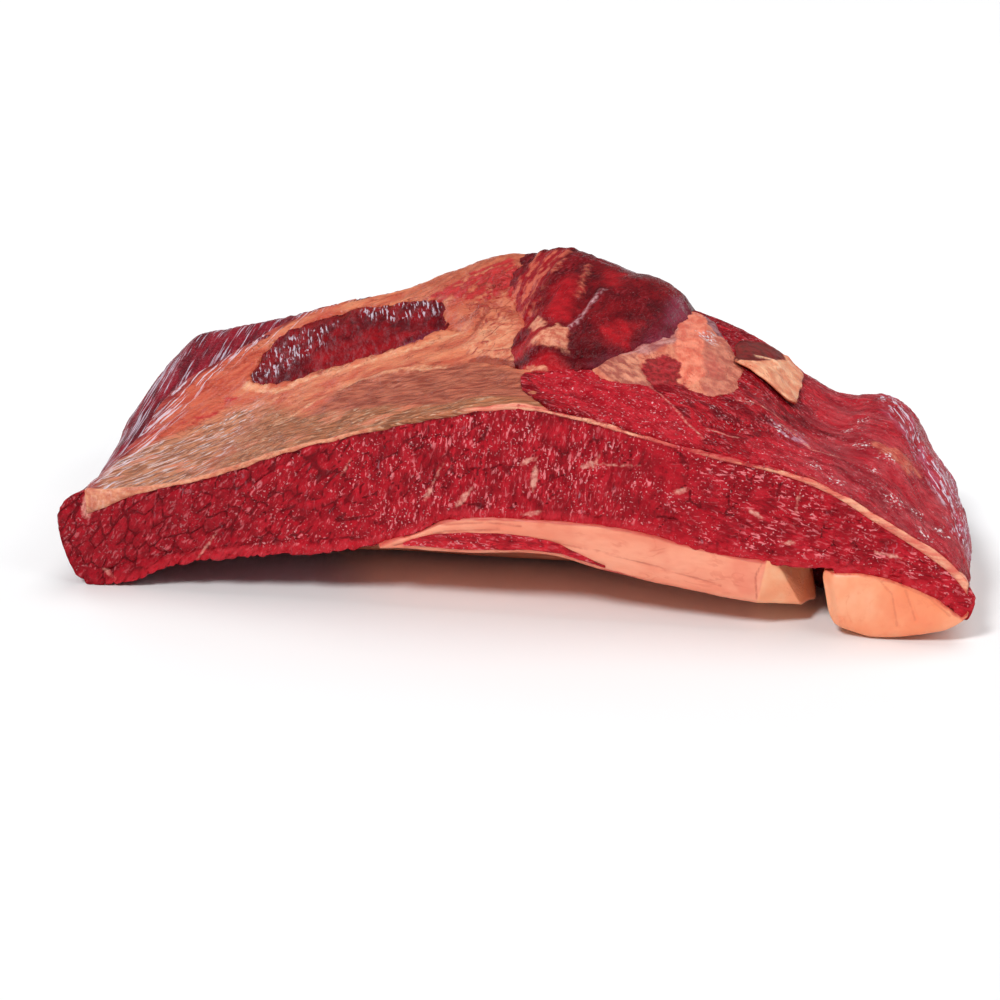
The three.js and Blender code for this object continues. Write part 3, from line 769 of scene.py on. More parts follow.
sheet = {
    "cells": (310, 132, 3),
    "proud": 0.5,               # the cut edge of the fat stands out of the lean by this much
    "windowDepth": 8,
    "seamHalf": (0.55, 3),      # half width of the seam where it is thin and where it ends
    "olive": [(-225, -118), (-225, -112), (-206, -87), (-194, -54), (-177, -38), (-160, -24),
              (-144, -14), (-132, -28), (-119, -50), (-104, -64), (-68, -82), (-40, -94), (-10, -99),
              (16, -106), (60, -112), (60, -118)],
    "membrane": [(-110, -70), (-98, -34), (-70, -30), (-42, -36), (-26, -41), (-8, -60), (6, -90),
                 (16, -106), (-10, -100), (-40, -95), (-68, -84), (-92, -68)],
    "ridge": [(-119, -56), (-97, -32), (-70, -32), (-44, -38)],
    "orange": [(-206, -92), (-196, -60), (-187, -43), (-172, -34), (-160, -18), (-158, -4),
               (-150, 8), (-142, 24), (-156, 44), (-176, 30), (-196, 4), (-200, -28), (-205, -70)],
    "redLine": [(-196, -40), (-185, -30), (-171, -27), (-165, -21), (-160, -10)],
    "seamRed": (84, 30),        # middle and half width of the part where the seam is torn and red
    "cream": [(-26, 4), (-16, 2), (-11, -30), (-4, -50), (-18, -42), (-34, -28), (-42, -18), (-30, -6)],
    "brown": [(-90, 62), (-70, 76), (-47, 90), (-10, 96), (-10, 56), (-34, 60), (-54, 60)],
    "red": [(-70, 50), (-52, 62), (-30, 66), (-14, 44), (-18, 22), (-34, 24), (-50, 32)],
    "crazed": [(-44, 52), (-20, 56), (-12, 20), (-14, -6), (-34, -2), (-46, 20)],
    "frayed": [(-153, 1), (-134, -13), (-124, -9), (-109, -8), (-95, -11), (-81, -6), (-68, -6),
               (-54, -3), (-44, 0)],
    "fissure": [(-30, -36), (-18, -43), (-8, -50), (-1, -58)],
    "creases": [[(-68, 44), (-54, 12), (-44, 2)], [(-60, 20), (-48, 12), (-36, 10)],
                [(-38, -8), (-33, 8), (-30, 16)]],
    "folds": [(-6, -70, 10, 7, -60, 2.2), (-97, -40, 30, 5, 20, 1.2), (-56, -33, 24, 4, -4, 1.1),
              (-52, 10, 14, 8, -40, -2.0), (-30, -10, 8, 14, 0, 1.5), (-175, -20, 26, 6, 45, 0.9),
              (-40, 40, 13, 6, 30, 2.2), (-24, 54, 9, 5, -20, 1.8), (-32, 18, 10, 5, 60, 2),
              (-20, -8, 7, 9, 0, 1.6), (-40, -22, 12, 5, 12, 1.6), (-22, -34, 9, 4, 20, 1.4)],
    "look": dict(mottle=9, grain=2.2, stretch=(2.4, 1, 1), turn=(0, 0, 24), blushSize=22, shadow=0.3,
                 blush=0.3, warm=(196, 92, 68), light=(222, 134, 98), deep=(160, 66, 48),
                 rose=(200, 66, 56), rough=0.24, depth=1.1, depthOfLight=0.12, wrinkles=0.5,
                 shine=0.28),
    "layers": [
        layer("membrane", (136, 60, 46), (190, 106, 82), streak=2, stretch=(10, 1, 1), turn=(0, 0, -4),
              ragged=1, raggedSize=9, edge=0.35, amount=0.9),
        layer("crazed", (172, 70, 54), (208, 118, 88), streak=5, ragged=0.9, edge=0.3, amount=0.85),
        layer("brown", (170, 78, 56), (198, 106, 76), streak=5, ragged=0.6, edge=0.25, amount=0.8),
        layer("cream", (206, 112, 84), (232, 158, 122), streak=4, ragged=0.6, edge=0.3, amount=0.85),
        layer("orange", (176, 58, 42), (204, 94, 68), streak=2.6, stretch=(7, 1, 1), turn=(0, 0, 56),
              ragged=1, raggedSize=16, edge=0.4, amount=0.8),
        layer("olive", (122, 72, 46), (186, 116, 80), streak=1.8, stretch=(12, 1, 1), turn=(0, 0, 12),
              ragged=1.2, raggedSize=10, edge=0.4, contrast=(0.38, 0.62), amount=0.9),
        layer("oliveLeft", (130, 80, 58), (202, 136, 102), streak=1.8, stretch=(12, 1, 1),
              turn=(0, 0, 50), ragged=1.2, raggedSize=10, edge=0.4, contrast=(0.38, 0.62), amount=0.9),
        layer("dots", (202, 104, 80), (222, 130, 100), streak=13, stretch=(2, 1, 1), turn=(0, 0, 20),
              ragged=0.6, edge=0.3, gaps=(0.56, 0.66), amount=0.7),
        layer("olive", (176, 130, 108), (222, 182, 152), streak=1.5, stretch=(16, 1, 1),
              turn=(0, 0, 14), ragged=1, raggedSize=7, edge=0.25, gaps=(0.56, 0.64), amount=0.6),
        # pale lavender strands of membrane on the olive at the left, their tone partly painted sheen
        layer("oliveLeft", (176, 150, 152), (224, 204, 204), streak=1.5, stretch=(16, 1, 1),
              turn=(0, 0, 50), ragged=1, raggedSize=7, edge=0.25, gaps=(0.54, 0.62), amount=0.75),
        layer("red", (156, 10, 24), (196, 50, 52), streak=6, ragged=1.2, raggedSize=7, edge=0.16,
              gaps=(0.34, 0.5), amount=0.95),
        layer("cracks", (140, 24, 28), (180, 62, 52), streak=12, turn=(0, 0, 60), stretch=(2, 1, 1),
              ragged=0.4, edge=0.2, lines=0.03, amount=0.8),
        layer("pale", (226, 146, 108), (244, 186, 146), streak=3, ragged=0.7, raggedSize=4, edge=0.16,
              amount=0.75),
        # painted shade: darker red-brown in the creases, the fissure and the splits of the crazed patch
        layer("crease", (120, 34, 26), (150, 56, 44), streak=3, ragged=0.4, raggedSize=3, edge=0.1,
              amount=0.75),
        layer("underSilver", (120, 14, 28), (170, 60, 56), streak=5, stretch=(7, 1, 1),
              turn=(0, 0, 66), ragged=0.9, raggedSize=14, edge=0.2, amount=0.85),
        # silverskin strands near the left edge, their pale lavender partly painted sheen
        layer("silverskinAndSheen", (180, 150, 168), (232, 220, 232), streak=1.3, stretch=(36, 1, 3),
              turn=(0, -8, 72), ragged=1.2, raggedSize=6, edge=0.3, gaps=(0.55, 0.63), amount=0.7),
        layer("rim", (214, 122, 94), (240, 166, 130), streak=4, ragged=0.4, raggedSize=6, edge=0.1,
              amount=0.85),
        layer("seam", (226, 112, 96), (250, 176, 144), streak=3.4, stretch=(5, 1, 1), ragged=0.1,
              edge=0.1, amount=0.95),
        layer("seamLean", (150, 12, 28), (196, 34, 48), streak=2, ragged=0.28, raggedSize=5,
              edge=0.035, amount=0.95),
        layer("seamRed", (186, 34, 46), (214, 92, 84), streak=2.4, stretch=(4, 1, 1), ragged=1,
              raggedSize=5, edge=0.15, amount=0.8),
    ],
}


# How far back the sheet reaches, farther at its right, with a wavy end
def sheetBack(s):
    return lerp(0.83, 0.92, ramp(0.1, 0.4, s)) + 0.01 * np.sin(31 * s) + 0.007 * np.sin(83 * s + 2)


def makeSheet():
    x, y, w, faces, s, t = layerGrid(sheet["cells"], sheetLeft, sheetRight, sheetBack)
    depth = (fatTopAtCut(x) - leanTopAtCut(x)
             + 5 * ramp(-75, -30, y) * (1 - ramp(10, 60, x)) + ramp(frontY + 1, frontY + 12, y))
    flatPoints = np.stack([x, y, 0 * x], axis=1)
    waver = 0.8 * rough(np.stack([x, 0 * x, 0 * x], axis=1), 11, 3, 43)
    depth = np.maximum(depth + waver * ramp(40, -20, x) * ramp(frontY + 12, frontY + 1, y), 0.9)
    hole = outIn(x + 2 * noise(flatPoints, 9, 41), y + 2.2 * rough(flatPoints, 8, 3, 42), strip)
    top = sheetTop(x, y) - sheet["windowDepth"] * ramp(1.0, 0.95, hole)
    z = top - depth * (1 - w)
    atCut = ramp(frontY + 4, frontY, y)
    y = y - atCut * (sheet["proud"] + 0.35 * np.sin(math.pi * w))
    points = np.stack([x, y, z], axis=1)
    upper = ramp(0.3, 0.9, w)
    leftness = ramp(-120, -165, x)
    alongCut = fibres(points, 5, (26, 2.6, 9), (15, 1.4, 5), 51)
    alongFlank = fibres(points, 56, (30, 2.6, 9), (16, 1.4, 5), 53)
    lip = ramp(1.13, 1.02, hole) * ramp(1.0, 1.02, hole) * ramp(16, 0, y)
    creased = fromLines(x, y, sheet["creases"])
    cleft = fromLine(x, y, sheet["fissure"])
    crazed = patchMark(x, y, sheet["crazed"])
    border = tiles(x / 9 + 0.5 * noise(points, 11, 59), y / 13 + 0.4 * noise(points, 8, 63), 60)
    split = crazed * np.exp(-(border / 0.12) ** 2) * ramp(-0.2, 0.3, noise(points, 9, 62))
    torn = 2.4 * crazed * rough(points, 10, 3, 61) - 2 * split
    relief = upper * (0.4 * lerp(alongCut, alongFlank, leftness) + 0.9 * rough(points, 24, 3, 55)
                      + 0.35 * noise(points, 5, 57) + folds(x, y, sheet["folds"])
                      + 1.5 * lip * (1 + 0.6 * noise(points, 5, 58)) + torn
                      - 1.0 * np.exp(-(creased / 1.4) ** 2) - 3.2 * np.exp(-(cleft / 1.8) ** 2))
    u, v = closeAtEnds(s), sheetBack(s) * closeAtFront(t)
    fromEdge = (lerp(sheetLeft(v), sheetRight(v), u) - sheetLeft(v)) * 2 * halfLength
    olive = patchMark(x, y, sheet["olive"])
    seam = atCut * ramp(-60, 20, x)
    seamHalf = lerp(*sheet["seamHalf"], ramp(110, 200, x))
    offMiddle = np.abs(w - 0.5) * (fatTopAtCut(x) - leanTopAtCut(x))
    marks = {name: patchMark(x, y, sheet[name]) for name in ("membrane", "brown", "cream", "orange")}
    marks |= {
        "olive": olive * (1 - leftness), "oliveLeft": olive * leftness,
        "red": np.maximum(patchMark(x, y, sheet["red"]), lineMark(x, y, 4, sheet["redLine"])),
        "pale": np.maximum(lineMark(x, y, 4, sheet["frayed"]), lineMark(x, y, 1.6, sheet["ridge"])),
        "crease": clamp01(np.max([0.6 - creased / 8, 1 - cleft / 6, 0.2 + 0.5 * split], axis=0)),
        "dots": olive, "cracks": np.maximum(marks["cream"], crazed), "crazed": crazed,
        "underSilver": edgeMark(5 - fromEdge), "silverskinAndSheen": edgeMark(16 - fromEdge),
        "rim": atCut * ramp(-40, -90, x), "seam": seam,
        "seamLean": seam * edgeMark(offMiddle - seamHalf),
        "seamRed": atCut * np.exp(-((x - sheet["seamRed"][0]) / sheet["seamRed"][1]) ** 2)}
    material = makeMaterial("sheetFat", fatGround, sheet)
    makePiece("fat_sheet", points, faces, relief, marks, material)


def makeStrip():
    x, y, w, faces, out = padGrid(strip["cells"], strip, 0, 0)
    centreX, centreY = strip["centre"]
    x, y = lerp(x, centreX, -strip["past"]), lerp(y, centreY, -strip["past"])
    top = fatTop(x, y) - strip["sunk"] + strip["swell"] * (1 - out ** 2)
    z = lerp(fatTop(x, y) - 10, top, w)
    points = np.stack([x, y, z], axis=1)
    wrinkle = 1 - 2 * np.abs(noise(turned(points, 12), (8, 26, 12), 61))
    small = 1 - 2 * np.abs(noise(turned(points, 30), (4, 9, 7), 62))
    relief = ramp(0.3, 1, w) * (0.8 * rough(points, 20, 2, 63) + 0.9 * wrinkle
                                + 0.35 * small * ramp(-10, 25, y))
    marks = {"silverskinAndSheen": patchMark(x, y, *strip["silverskinAndSheen"]), "glow": patchMark(x, y, strip["glow"]),
             "purple": lineMark(x, y, 9, strip["purple"])}
    material = makeMaterial("windowLean", leanGround, strip)
    makePiece("strip_muscle", points, faces, relief, marks, material)


# The point muscle over the right of the seam: wet lean with its fibres running down to the cut

point = {
    "cells": (190, 160, 14),
    "bright": [(4, -78), (12, -92), (22, -102), (41, -110), (65, -114), (90, -116), (89, -101),
               (66, -75), (54, -60), (35, -55), (17, -60)],
    "brightRight": [(118, -68), (132, -76), (146, -78), (152, -100), (158, -114), (130, -116),
                    (112, -112), (108, -96)],
    "pale": [[(52, -57), (66, -75), (77, -88), (89, -103)], [(100, -59), (111, -52), (121, -53)],
             [(90, -94), (104, -94)], [(121, -60), (137, -74), (151, -73)]],
    "sheen": [(118, -64), (131, -62), (135, -78), (124, -76)],
    "furrow": [[(88, -88), (95, -84), (106, -82), (117, -72)], [(28, -90), (34, -89)],
               [(138, -84), (150, -88), (160, -96)], [(118, -46), (136, -38), (150, -40)]],
    # where clusters of painted wet glints lie
    "glintSpots": [(159, -54), (150, -101), (187, -91), (199, -94), (104, -56), (130, -57), (157, -22),
              (121, -66), (152, -31), (166, -78), (177, -95), (192, -106), (172, -64), (140, -94)],
    "tan": [(163, -53), (177, -50), (187, -55), (181, -68), (168, -61)],
    "ridge": [(172, 30), (177, 4), (185, -17), (196, -34), (207, -50), (207, -72), (199, -68),
              (188, -48), (177, -30), (169, -10), (162, 20)],
    "folds": [(32, -90, 7, 4, -30, -2.6), (24, -78, 10, 7, 10, 1.6), (46, -94, 16, 6, -15, 1.2),
              (108, -80, 14, 3, -8, -2.4), (130, -109, 16, 3, -4, -1.6), (150, -84, 7, 5, -60, 1.5),
              (100, -82, 14, 2.6, 25, -1.8), (62, -74, 10, 5, -40, 1.2), (170, -60, 12, 4, -50, 1.2),
              (146, -50, 16, 4, -10, -1.6), (186, -80, 12, 4, -60, 1.2),
              (14, -66, 8, 6, 30, 1.4), (80, -80, 22, 3.5, -50, 1.2), (170, -88, 22, 5, -35, 0.9)],
    "look": dict(mottle=14, grain=1.8, stretch=(3.8, 1, 1), turn=(0, 0, -28), stroke=1.3, patch=15,
                 strokes=0.55, shadow=0.65, bundle=5, glow=0.65, dark=(122, 4, 18), red=(172, 16, 30),
                 deep=(88, 0, 12), bright=(202, 32, 46), pale=(226, 116, 124), white=(252, 206, 208),
                 rough=0.12, depth=1.0, depthOfLight=0, shine=0.11),
    "layers": [
        layer("bright", (156, 10, 26), (200, 34, 48), streak=5, ragged=0.2, edge=0.06, amount=0.85),
        layer("rosy", (166, 40, 52), (196, 84, 90), streak=5, stretch=(5, 1, 1), turn=(0, 0, -34),
              ragged=1.2, raggedSize=14, edge=0.4, amount=0.5),
        layer("sparkle", (206, 70, 82), (250, 206, 208), streak=1.3, ragged=0.6, raggedSize=9,
              edge=0.2, gaps=(0.57, 0.68), contrast=(0.6, 0.74), amount=0.8),
        layer("tan", (190, 76, 64), (218, 122, 98), streak=4, ragged=0.8, edge=0.16, amount=0.75),
        *backLayers,
        layer("pale", (200, 84, 84), (236, 166, 148), streak=2, ragged=0.16, raggedSize=3, edge=0.04,
              amount=0.7),
        # painted shade: near-black red along the furrows
        layer("furrow", (84, 2, 12), (112, 6, 18), ragged=0.5, raggedSize=4, edge=0.16, amount=0.75),
        layer("sheen", (140, 44, 66), (196, 150, 170), streak=2.4, stretch=(6, 1, 1), turn=(0, 0, -40),
              ragged=1.1, raggedSize=4, edge=0.3, amount=0.6, gaps=(0.46, 0.62)),
        # painted glints: small near-white clusters
        layer("glintSpots", (222, 120, 130), (255, 242, 242), streak=1.5, ragged=0.9, raggedSize=3,
              edge=0.2, gaps=(0.54, 0.64), amount=0.85),
        # along the right ridge and side: pinkish haze and silvery strands of silverskin, their pale
        # tones partly painted sheen
        layer("ridge", (150, 24, 44), (190, 90, 112), streak=5, stretch=(10, 1, 1), turn=(0, 0, -62),
              ragged=0.9, raggedSize=12, edge=0.3, gaps=(0.44, 0.6), amount=0.7),
        layer("ridge", (166, 130, 156), (230, 216, 230), streak=1.3, stretch=(30, 1, 1),
              turn=(0, 14, -64), ragged=1, raggedSize=6, edge=0.3, gaps=(0.54, 0.61), amount=0.8),
    ],
}


def makePoint():
    x, y, w, faces, s, t = layerGrid(point["cells"], pointBorder, pointRight, pointBack)
    base = fatTop(x, y) - 2.6 * ramp(frontY, frontY + 12, y) - 0.2
    top = np.maximum(pointTop(x, y), sheetTop(x, y) + 1.4)
    thinned = ramp(0.4, 0.6, t) * ramp(0.12, 0, s)
    top = lerp(top, fatTop(x, y) + 1, thinned)
    underPads = np.maximum(ramp(1, 0.9, outIn(x, y, wedge)), ramp(0.98, 0.85, outIn(x, y, hump)))
    z = lerp(base, top - 1.6 * underPads * w, w)
    points = np.stack([x, y, z], axis=1)
    upper = ramp(0.2, 0.8, w) * ramp(frontY - 1, frontY + 5, y)
    fibre = fibres(points, -28, (22, 2.4, 8), (11, 1.3, 5), 71)
    strand = noise(turned(points, -62), (34, 2.2, 12), 73)
    ridge = patchMark(x, y, point["ridge"])
    side = ramp(-10, 2, x - rightSide(y) + 6)
    relief = upper * (0.42 * fibre + 0.9 * rough(points, 20, 3, 74) + 0.3 * noise(points, 3, 75)
                      + folds(x, y, point["folds"]) + 0.5 * strand * np.maximum(ridge, side))
    bright = patchMark(x, y, point["bright"], point["brightRight"])
    fromGlint = np.min([np.hypot(x - a, y - b) for a, b in point["glintSpots"]], axis=0)
    marks = {
        "bright": bright, "sparkle": clamp01(np.maximum(bright, 0.32 + 0 * x)),
        "back": backMark(x, y),
        "furrow": lineMark(x, y, 2.4, *point["furrow"]), "glintSpots": edgeMark(2.6 - fromGlint),
        "rosy": ramp(95, 150, x) * 0.75,
        "tan": patchMark(x, y, point["tan"]), "sheen": patchMark(x, y, point["sheen"]),
        "pale": lineMark(x, y, 1.3, *point["pale"]),
        "ridge": np.maximum(ridge, 0.9 * side * ramp(-100, -80, y))}
    material = makeMaterial("pointLean", leanGround, point)
    makePiece("point_muscle", points, faces, relief, marks, material)


# The dark muscle of the hump, in lobes that run front to back

hump = {
    "cells": (130, 130, 12),
    "rise": 15.5,
    "centre": (22, 10),
    "outline": [(4, 42), (35, 54), (61, 78), (90, 83), (111, 90), (135, 67), (170, 42), (208, 38),
                (228, 54), (243, 66), (258, 80), (269, 73), (283, 61), (298, 49), (317, 44)],
    "folds": [(28, -50, 14, 5, 5, -3.2), (40, 30, 20, 34, 0, 4.0),
              (-8, 8, 24, 3.5, 74, 1.4), (-1, 4, 26, 2.6, 76, -2.0), (6, 0, 28, 4.5, 78, 1.6),
              (19, -4, 32, 2.2, 86, -1.8), (2, -44, 9, 8, 20, 2.2), (-10, -30, 12, 4, 10, -2.2),
              (-14, -18, 10, 6, 20, 1.6), (14, -62, 10, 4, 0, -2.4), (22, -66, 9, 5, 0, 1.8),
              (8, -54, 12, 2.2, 15, -1.8), (-3, -60, 7, 4, 40, 1.6)],
    "bright": [[(1, 14), (9, 28), (14, 10), (14, -6), (16, -25), (9, -31), (1, -20)],
               [(30, -30), (36, -18), (47, -13), (45, -31), (35, -40)],
               [(24, 40), (32, 40), (32, 16), (25, 20)],
               [(-4, -60), (6, -52), (18, -58), (24, -72), (8, -78), (-2, -72)],
               [(-16, -34), (-4, -26), (8, -38), (2, -48), (-12, -46)]],
    "smear": [(-30, 4), (-20, 40), (-16, 64), (4, 60), (-2, 34), (-7, 4), (-4, -14), (-14, -22),
              (-26, -10)],
    "tan": [[(14, 42), (14.5, 15), (15, 0)], [(2, 44), (-3, 30)]],
    "tendon": [(25, 13), (21, -9), (19, -23), (16, -34)],
    "beige": [[(10, -31), (16, -34), (18, -50), (7, -50), (-1, -45), (5, -38)],
              [(-6, -20), (-1, -17), (4, -30), (-2, -29)], [(0, -61), (9, -64), (12, -67), (2, -65)]],
    "purple": [(30, -54), (46, -32), (55, 0), (58, 44), (76, 44), (72, -4), (58, -40), (40, -60)],
    # the hollow at the hump's foot, painted near black as its shadow
    "shade": [(17, -42), (37, -40), (40, -54), (18, -58)],
    "look": dict(mottle=20, grain=2.4, stretch=(1, 3.4, 1), turn=(0, 0, -12), stroke=1.2, patch=14,
                 strokes=0.2, shadow=0.5, bundle=7, glow=0.3, dark=(90, 0, 10), red=(120, 4, 14),
                 deep=(58, 0, 6), bright=(152, 12, 24), pale=(190, 76, 86), white=(226, 150, 156),
                 rough=0.16, depth=0.7, depthOfLight=0, shine=0.14),
    "layers": [
        layer("bright", (160, 10, 22), (192, 24, 34), streak=6, ragged=0.9, raggedSize=8, edge=0.35,
              amount=0.8),
        layer("purple", (110, 20, 40), (148, 62, 84), streak=12, stretch=(3, 1, 1), turn=(0, 0, 60),
              ragged=0.6, raggedSize=12, edge=0.4, amount=0.7),
        layer("smear", (158, 20, 30), (214, 104, 82), streak=4, stretch=(4, 1, 1), turn=(0, 0, 74),
              ragged=1.1, raggedSize=7, edge=0.2, contrast=(0.44, 0.6), amount=0.85),
        # painted shadow in the hollow at the foot
        layer("shade", (66, 0, 8), (90, 4, 14), ragged=0.5, edge=0.4, amount=0.75),
        layer("tan", (170, 44, 42), (212, 116, 92), streak=3, ragged=0.7, raggedSize=4, edge=0.14,
              amount=0.75),
        layer("tendon", (130, 30, 46), (218, 168, 172), streak=2, stretch=(1, 2, 1), turn=(0, 0, -14),
              ragged=0.5, raggedSize=3, edge=0.12, amount=0.8),
        layer("beige", (200, 104, 82), (232, 156, 124), ragged=0.5, raggedSize=4, edge=0.1, amount=0.9),
        # silverskin strands at the back, their pale tone partly painted sheen
        layer("silverskinAndSheen", (124, 76, 98), (208, 188, 202), streak=1.1, stretch=(30, 2, 3),
              turn=(0, 5, -8), ragged=1.8, raggedSize=9, edge=0.3, gaps=(0.55, 0.66), amount=0.3),
    ],
}


def makeHump():
    x, y, w, faces, out = padGrid(hump["cells"], hump, 1.6, 81)
    base = np.maximum(fatTop(x, y), pointTop(x, y) * ramp(0, 24, x))
    steep, gentle = (1 - out ** 2.8) ** 0.8, (1 - out ** 2) ** 1.2
    rise = hump["rise"] * fullness(x, y) * lerp(steep, gentle, 0.8 * ramp(12, -14, x))
    low = fatTop(x, y) - 3
    z = lerp(low, np.maximum(low + 2, base + rise), w)
    points = np.stack([x, y, z], axis=1)
    lobe = fibres(points, 78, (30, 5, 14), (16, 2.6, 9), 82)
    lively = 0.35 + 0.65 * ramp(24, 8, x)
    cords = fromLines(x, y, hump["tan"] + [hump["tendon"]])
    relief = ramp(0.1, 0.9, w) * (folds(x, y, hump["folds"]) + 0.8 * lively * lobe
                                  + lively * rough(points, 22, 3, 84)
                                  + 0.8 * np.exp(-(cords / 1.5) ** 2)) * ramp(1.02, 0.86, out)
    marks = {
        "bright": patchMark(x, y, *hump["bright"]), "beige": patchMark(x, y, *hump["beige"]),
        "smear": patchMark(x, y, hump["smear"]), "shade": patchMark(x, y, hump["shade"]),
        "purple": patchMark(x, y, hump["purple"]),
        "tan": lineMark(x, y, 1.8, *hump["tan"]), "tendon": lineMark(x, y, 1.4, hump["tendon"]),
        "silverskinAndSheen": edgeMark(y - 46) * ramp(-4, 12, x)}
    material = makeMaterial("humpLean", leanGround, hump)
    makePiece("hump_muscle", points, faces, relief, marks, material)


# The fat at the right foot of the hump, with membrane, a bare patch of lean and a tan patch in it

wedge = {
    "cells": (120, 120, 4),
    "swell": 2.6,
    "centre": (74, -22),
    "outline": [(0, 25), (57, 33), (80, 52), (92, 72), (112, 66), (150, 46), (190, 46), (215, 55),
                (232, 56), (248, 50), (262, 38), (283, 40), (303, 37), (335, 27)],
    "folds": [(63, -46, 10, 9, -20, -1.8), (74, 0, 40, 5, 82, 1.2), (90, -20, 18, 8, 70, -0.6),
              (52, -28, 20, 5, 50, 0.8), (48, -58, 12, 5, -50, 0.6), (78, 8, 5, 4, 0, -1.2)],
    "grey": [(30, -50), (46, -26), (58, 8), (64, 40), (70, 30), (69, -4), (57, -27), (46, -42)],
    "salmon": [(58, 60), (72, 50), (77, 21), (77, -5), (83, -44), (77, -56), (70, -48), (66, -22),
               (63, 10)],
    "white": [(30, -48), (49, -33), (53, -51), (63, -67), (50, -74), (38, -62)],
    "red": [(53, -47), (57, -35), (64, -31), (71, -39), (72, -54), (78, -58), (66, -72), (56, -60)],
    "tan": [(77, -6), (79, 14), (91, 20), (102, -10), (101, -36), (95, -56), (85, -64), (80, -39)],
    "blush": [(81, -31), (84, -14), (90, -26), (87, -44)],
    "purple": [(70, 54), (86, 58), (98, 30), (82, 19), (76, 30)],
    "glint": [(73, 9), (80, 19), (82, 1)],
    "look": dict(mottle=7, grain=1.8, stretch=(1, 2.6, 1), turn=(0, 0, 8), blushSize=14, shadow=0.35,
                 blush=0.35, warm=(200, 98, 78), light=(230, 146, 116), deep=(164, 64, 52),
                 rose=(190, 64, 60), rough=0.3, depth=0.7, depthOfLight=0.1, shine=0.25),
    "layers": [
        layer("tan", (180, 92, 78), (216, 132, 108), streak=6, ragged=0.4, edge=0.06, amount=0.9),
        layer("blush", (196, 82, 74), (204, 96, 84), ragged=0.8, edge=0.4, amount=0.6),
        layer("grey", (150, 84, 88), (206, 150, 146), streak=3, stretch=(3, 1, 1), turn=(0, 0, 64),
              ragged=0.8, edge=0.2, amount=0.75),
        layer("salmon", (222, 104, 82), (248, 146, 118), streak=4, stretch=(1, 2, 1), ragged=0.6,
              edge=0.1, amount=0.85),
        layer("white", (160, 80, 70), (222, 146, 118), streak=3.5, stretch=(2.4, 1, 1),
              turn=(0, 0, -50), ragged=0.5, edge=0.08, amount=0.9),
        layer("red", (124, 6, 20), (172, 30, 42), streak=2.2, ragged=0.6, edge=0.06, amount=0.95),
        layer("purple", (116, 62, 72), (172, 116, 122), streak=4, ragged=0.3, edge=0.05, amount=0.95),
        layer("glint", (150, 116, 126), (240, 232, 236), streak=1.6, ragged=1.3, raggedSize=3,
              edge=0.2, gaps=(0.46, 0.58), amount=0.85),
    ],
}


def makeWedge():
    x, y, w, faces, out = padGrid(wedge["cells"], wedge, 1.7, 91)
    low = pointTop(x, y) - 3
    top = pointTop(x, y) - 0.4 + wedge["swell"] * (1 - out ** 4)
    z = lerp(low, np.maximum(low + 1.5, top), w)
    points = np.stack([x, y, z], axis=1)
    bare = ramp(0.35, 0.65, patchMark(x, y, wedge["red"]))
    relief = ramp(0.2, 0.9, w) * (folds(x, y, wedge["folds"]) + 0.8 * rough(points, 12, 3, 92)
                                  + 0.35 * noise(points, (3, 7, 3), 93) - 0.8 * bare)
    relief = relief * ramp(1.02, 0.9, out)
    marks = {name: patchMark(x, y, wedge[name])
             for name in ("grey", "salmon", "white", "red", "tan", "blush", "purple", "glint")}
    material = makeMaterial("wedgeFat", fatGround, wedge)
    makePiece("fat_wedge", points, faces, relief, marks, material)


# The loose flap of fat, lifted at its free end, with a curled lip and lean on its far side

flap = {
    "cells": (70, 70, 8),
    "lift": (0.4, 3),           # off the muscle, at its far side and at its free end
    "thick": (2.4, 4.6),        # at its edge and in its middle
    "centre": (112, -5),
    "outline": [(0, 12.6), (24, 14), (45, 18), (69, 30), (92, 36), (120, 33), (160, 19), (196, 18),
                (225, 14.5), (258, 16), (285, 20), (303, 21.5), (318, 17), (338, 13.6)],
    "lip": [(104, 2), (110, 6), (116, 2), (113, -3)],
    "back": [(86, 34), (98, 30), (112, 32), (122, 20), (130, 30), (112, 50), (90, 46)],
    "lean": [(90, -6), (96, -12), (104, -6), (110, 4), (117, 22), (114, 34), (98, 34), (88, 12)],
    "look": dict(mottle=8, grain=2, stretch=(1.6, 1, 1), turn=(0, 0, -50), blushSize=12, shadow=0.2,
                 blush=0.4, warm=(222, 136, 104), light=(246, 184, 146), deep=(196, 104, 76),
                 rose=(222, 112, 84), rough=0.34, depth=0.6, depthOfLight=0.2, shine=0.2),
    "layers": [
        layer("lean", (84, 2, 14), (122, 12, 26), streak=4, ragged=0.3, edge=0.06, amount=0.95),
        layer("lip", (236, 166, 128), (252, 206, 170), ragged=0.3, edge=0.08, amount=0.8),
        # the rim: redder fat on the far side, and painted shade on the low edge under the lifted flap
        layer("rim", (212, 96, 70), (226, 122, 92), ragged=0.4, edge=0.14, amount=0.6),
    ],
}


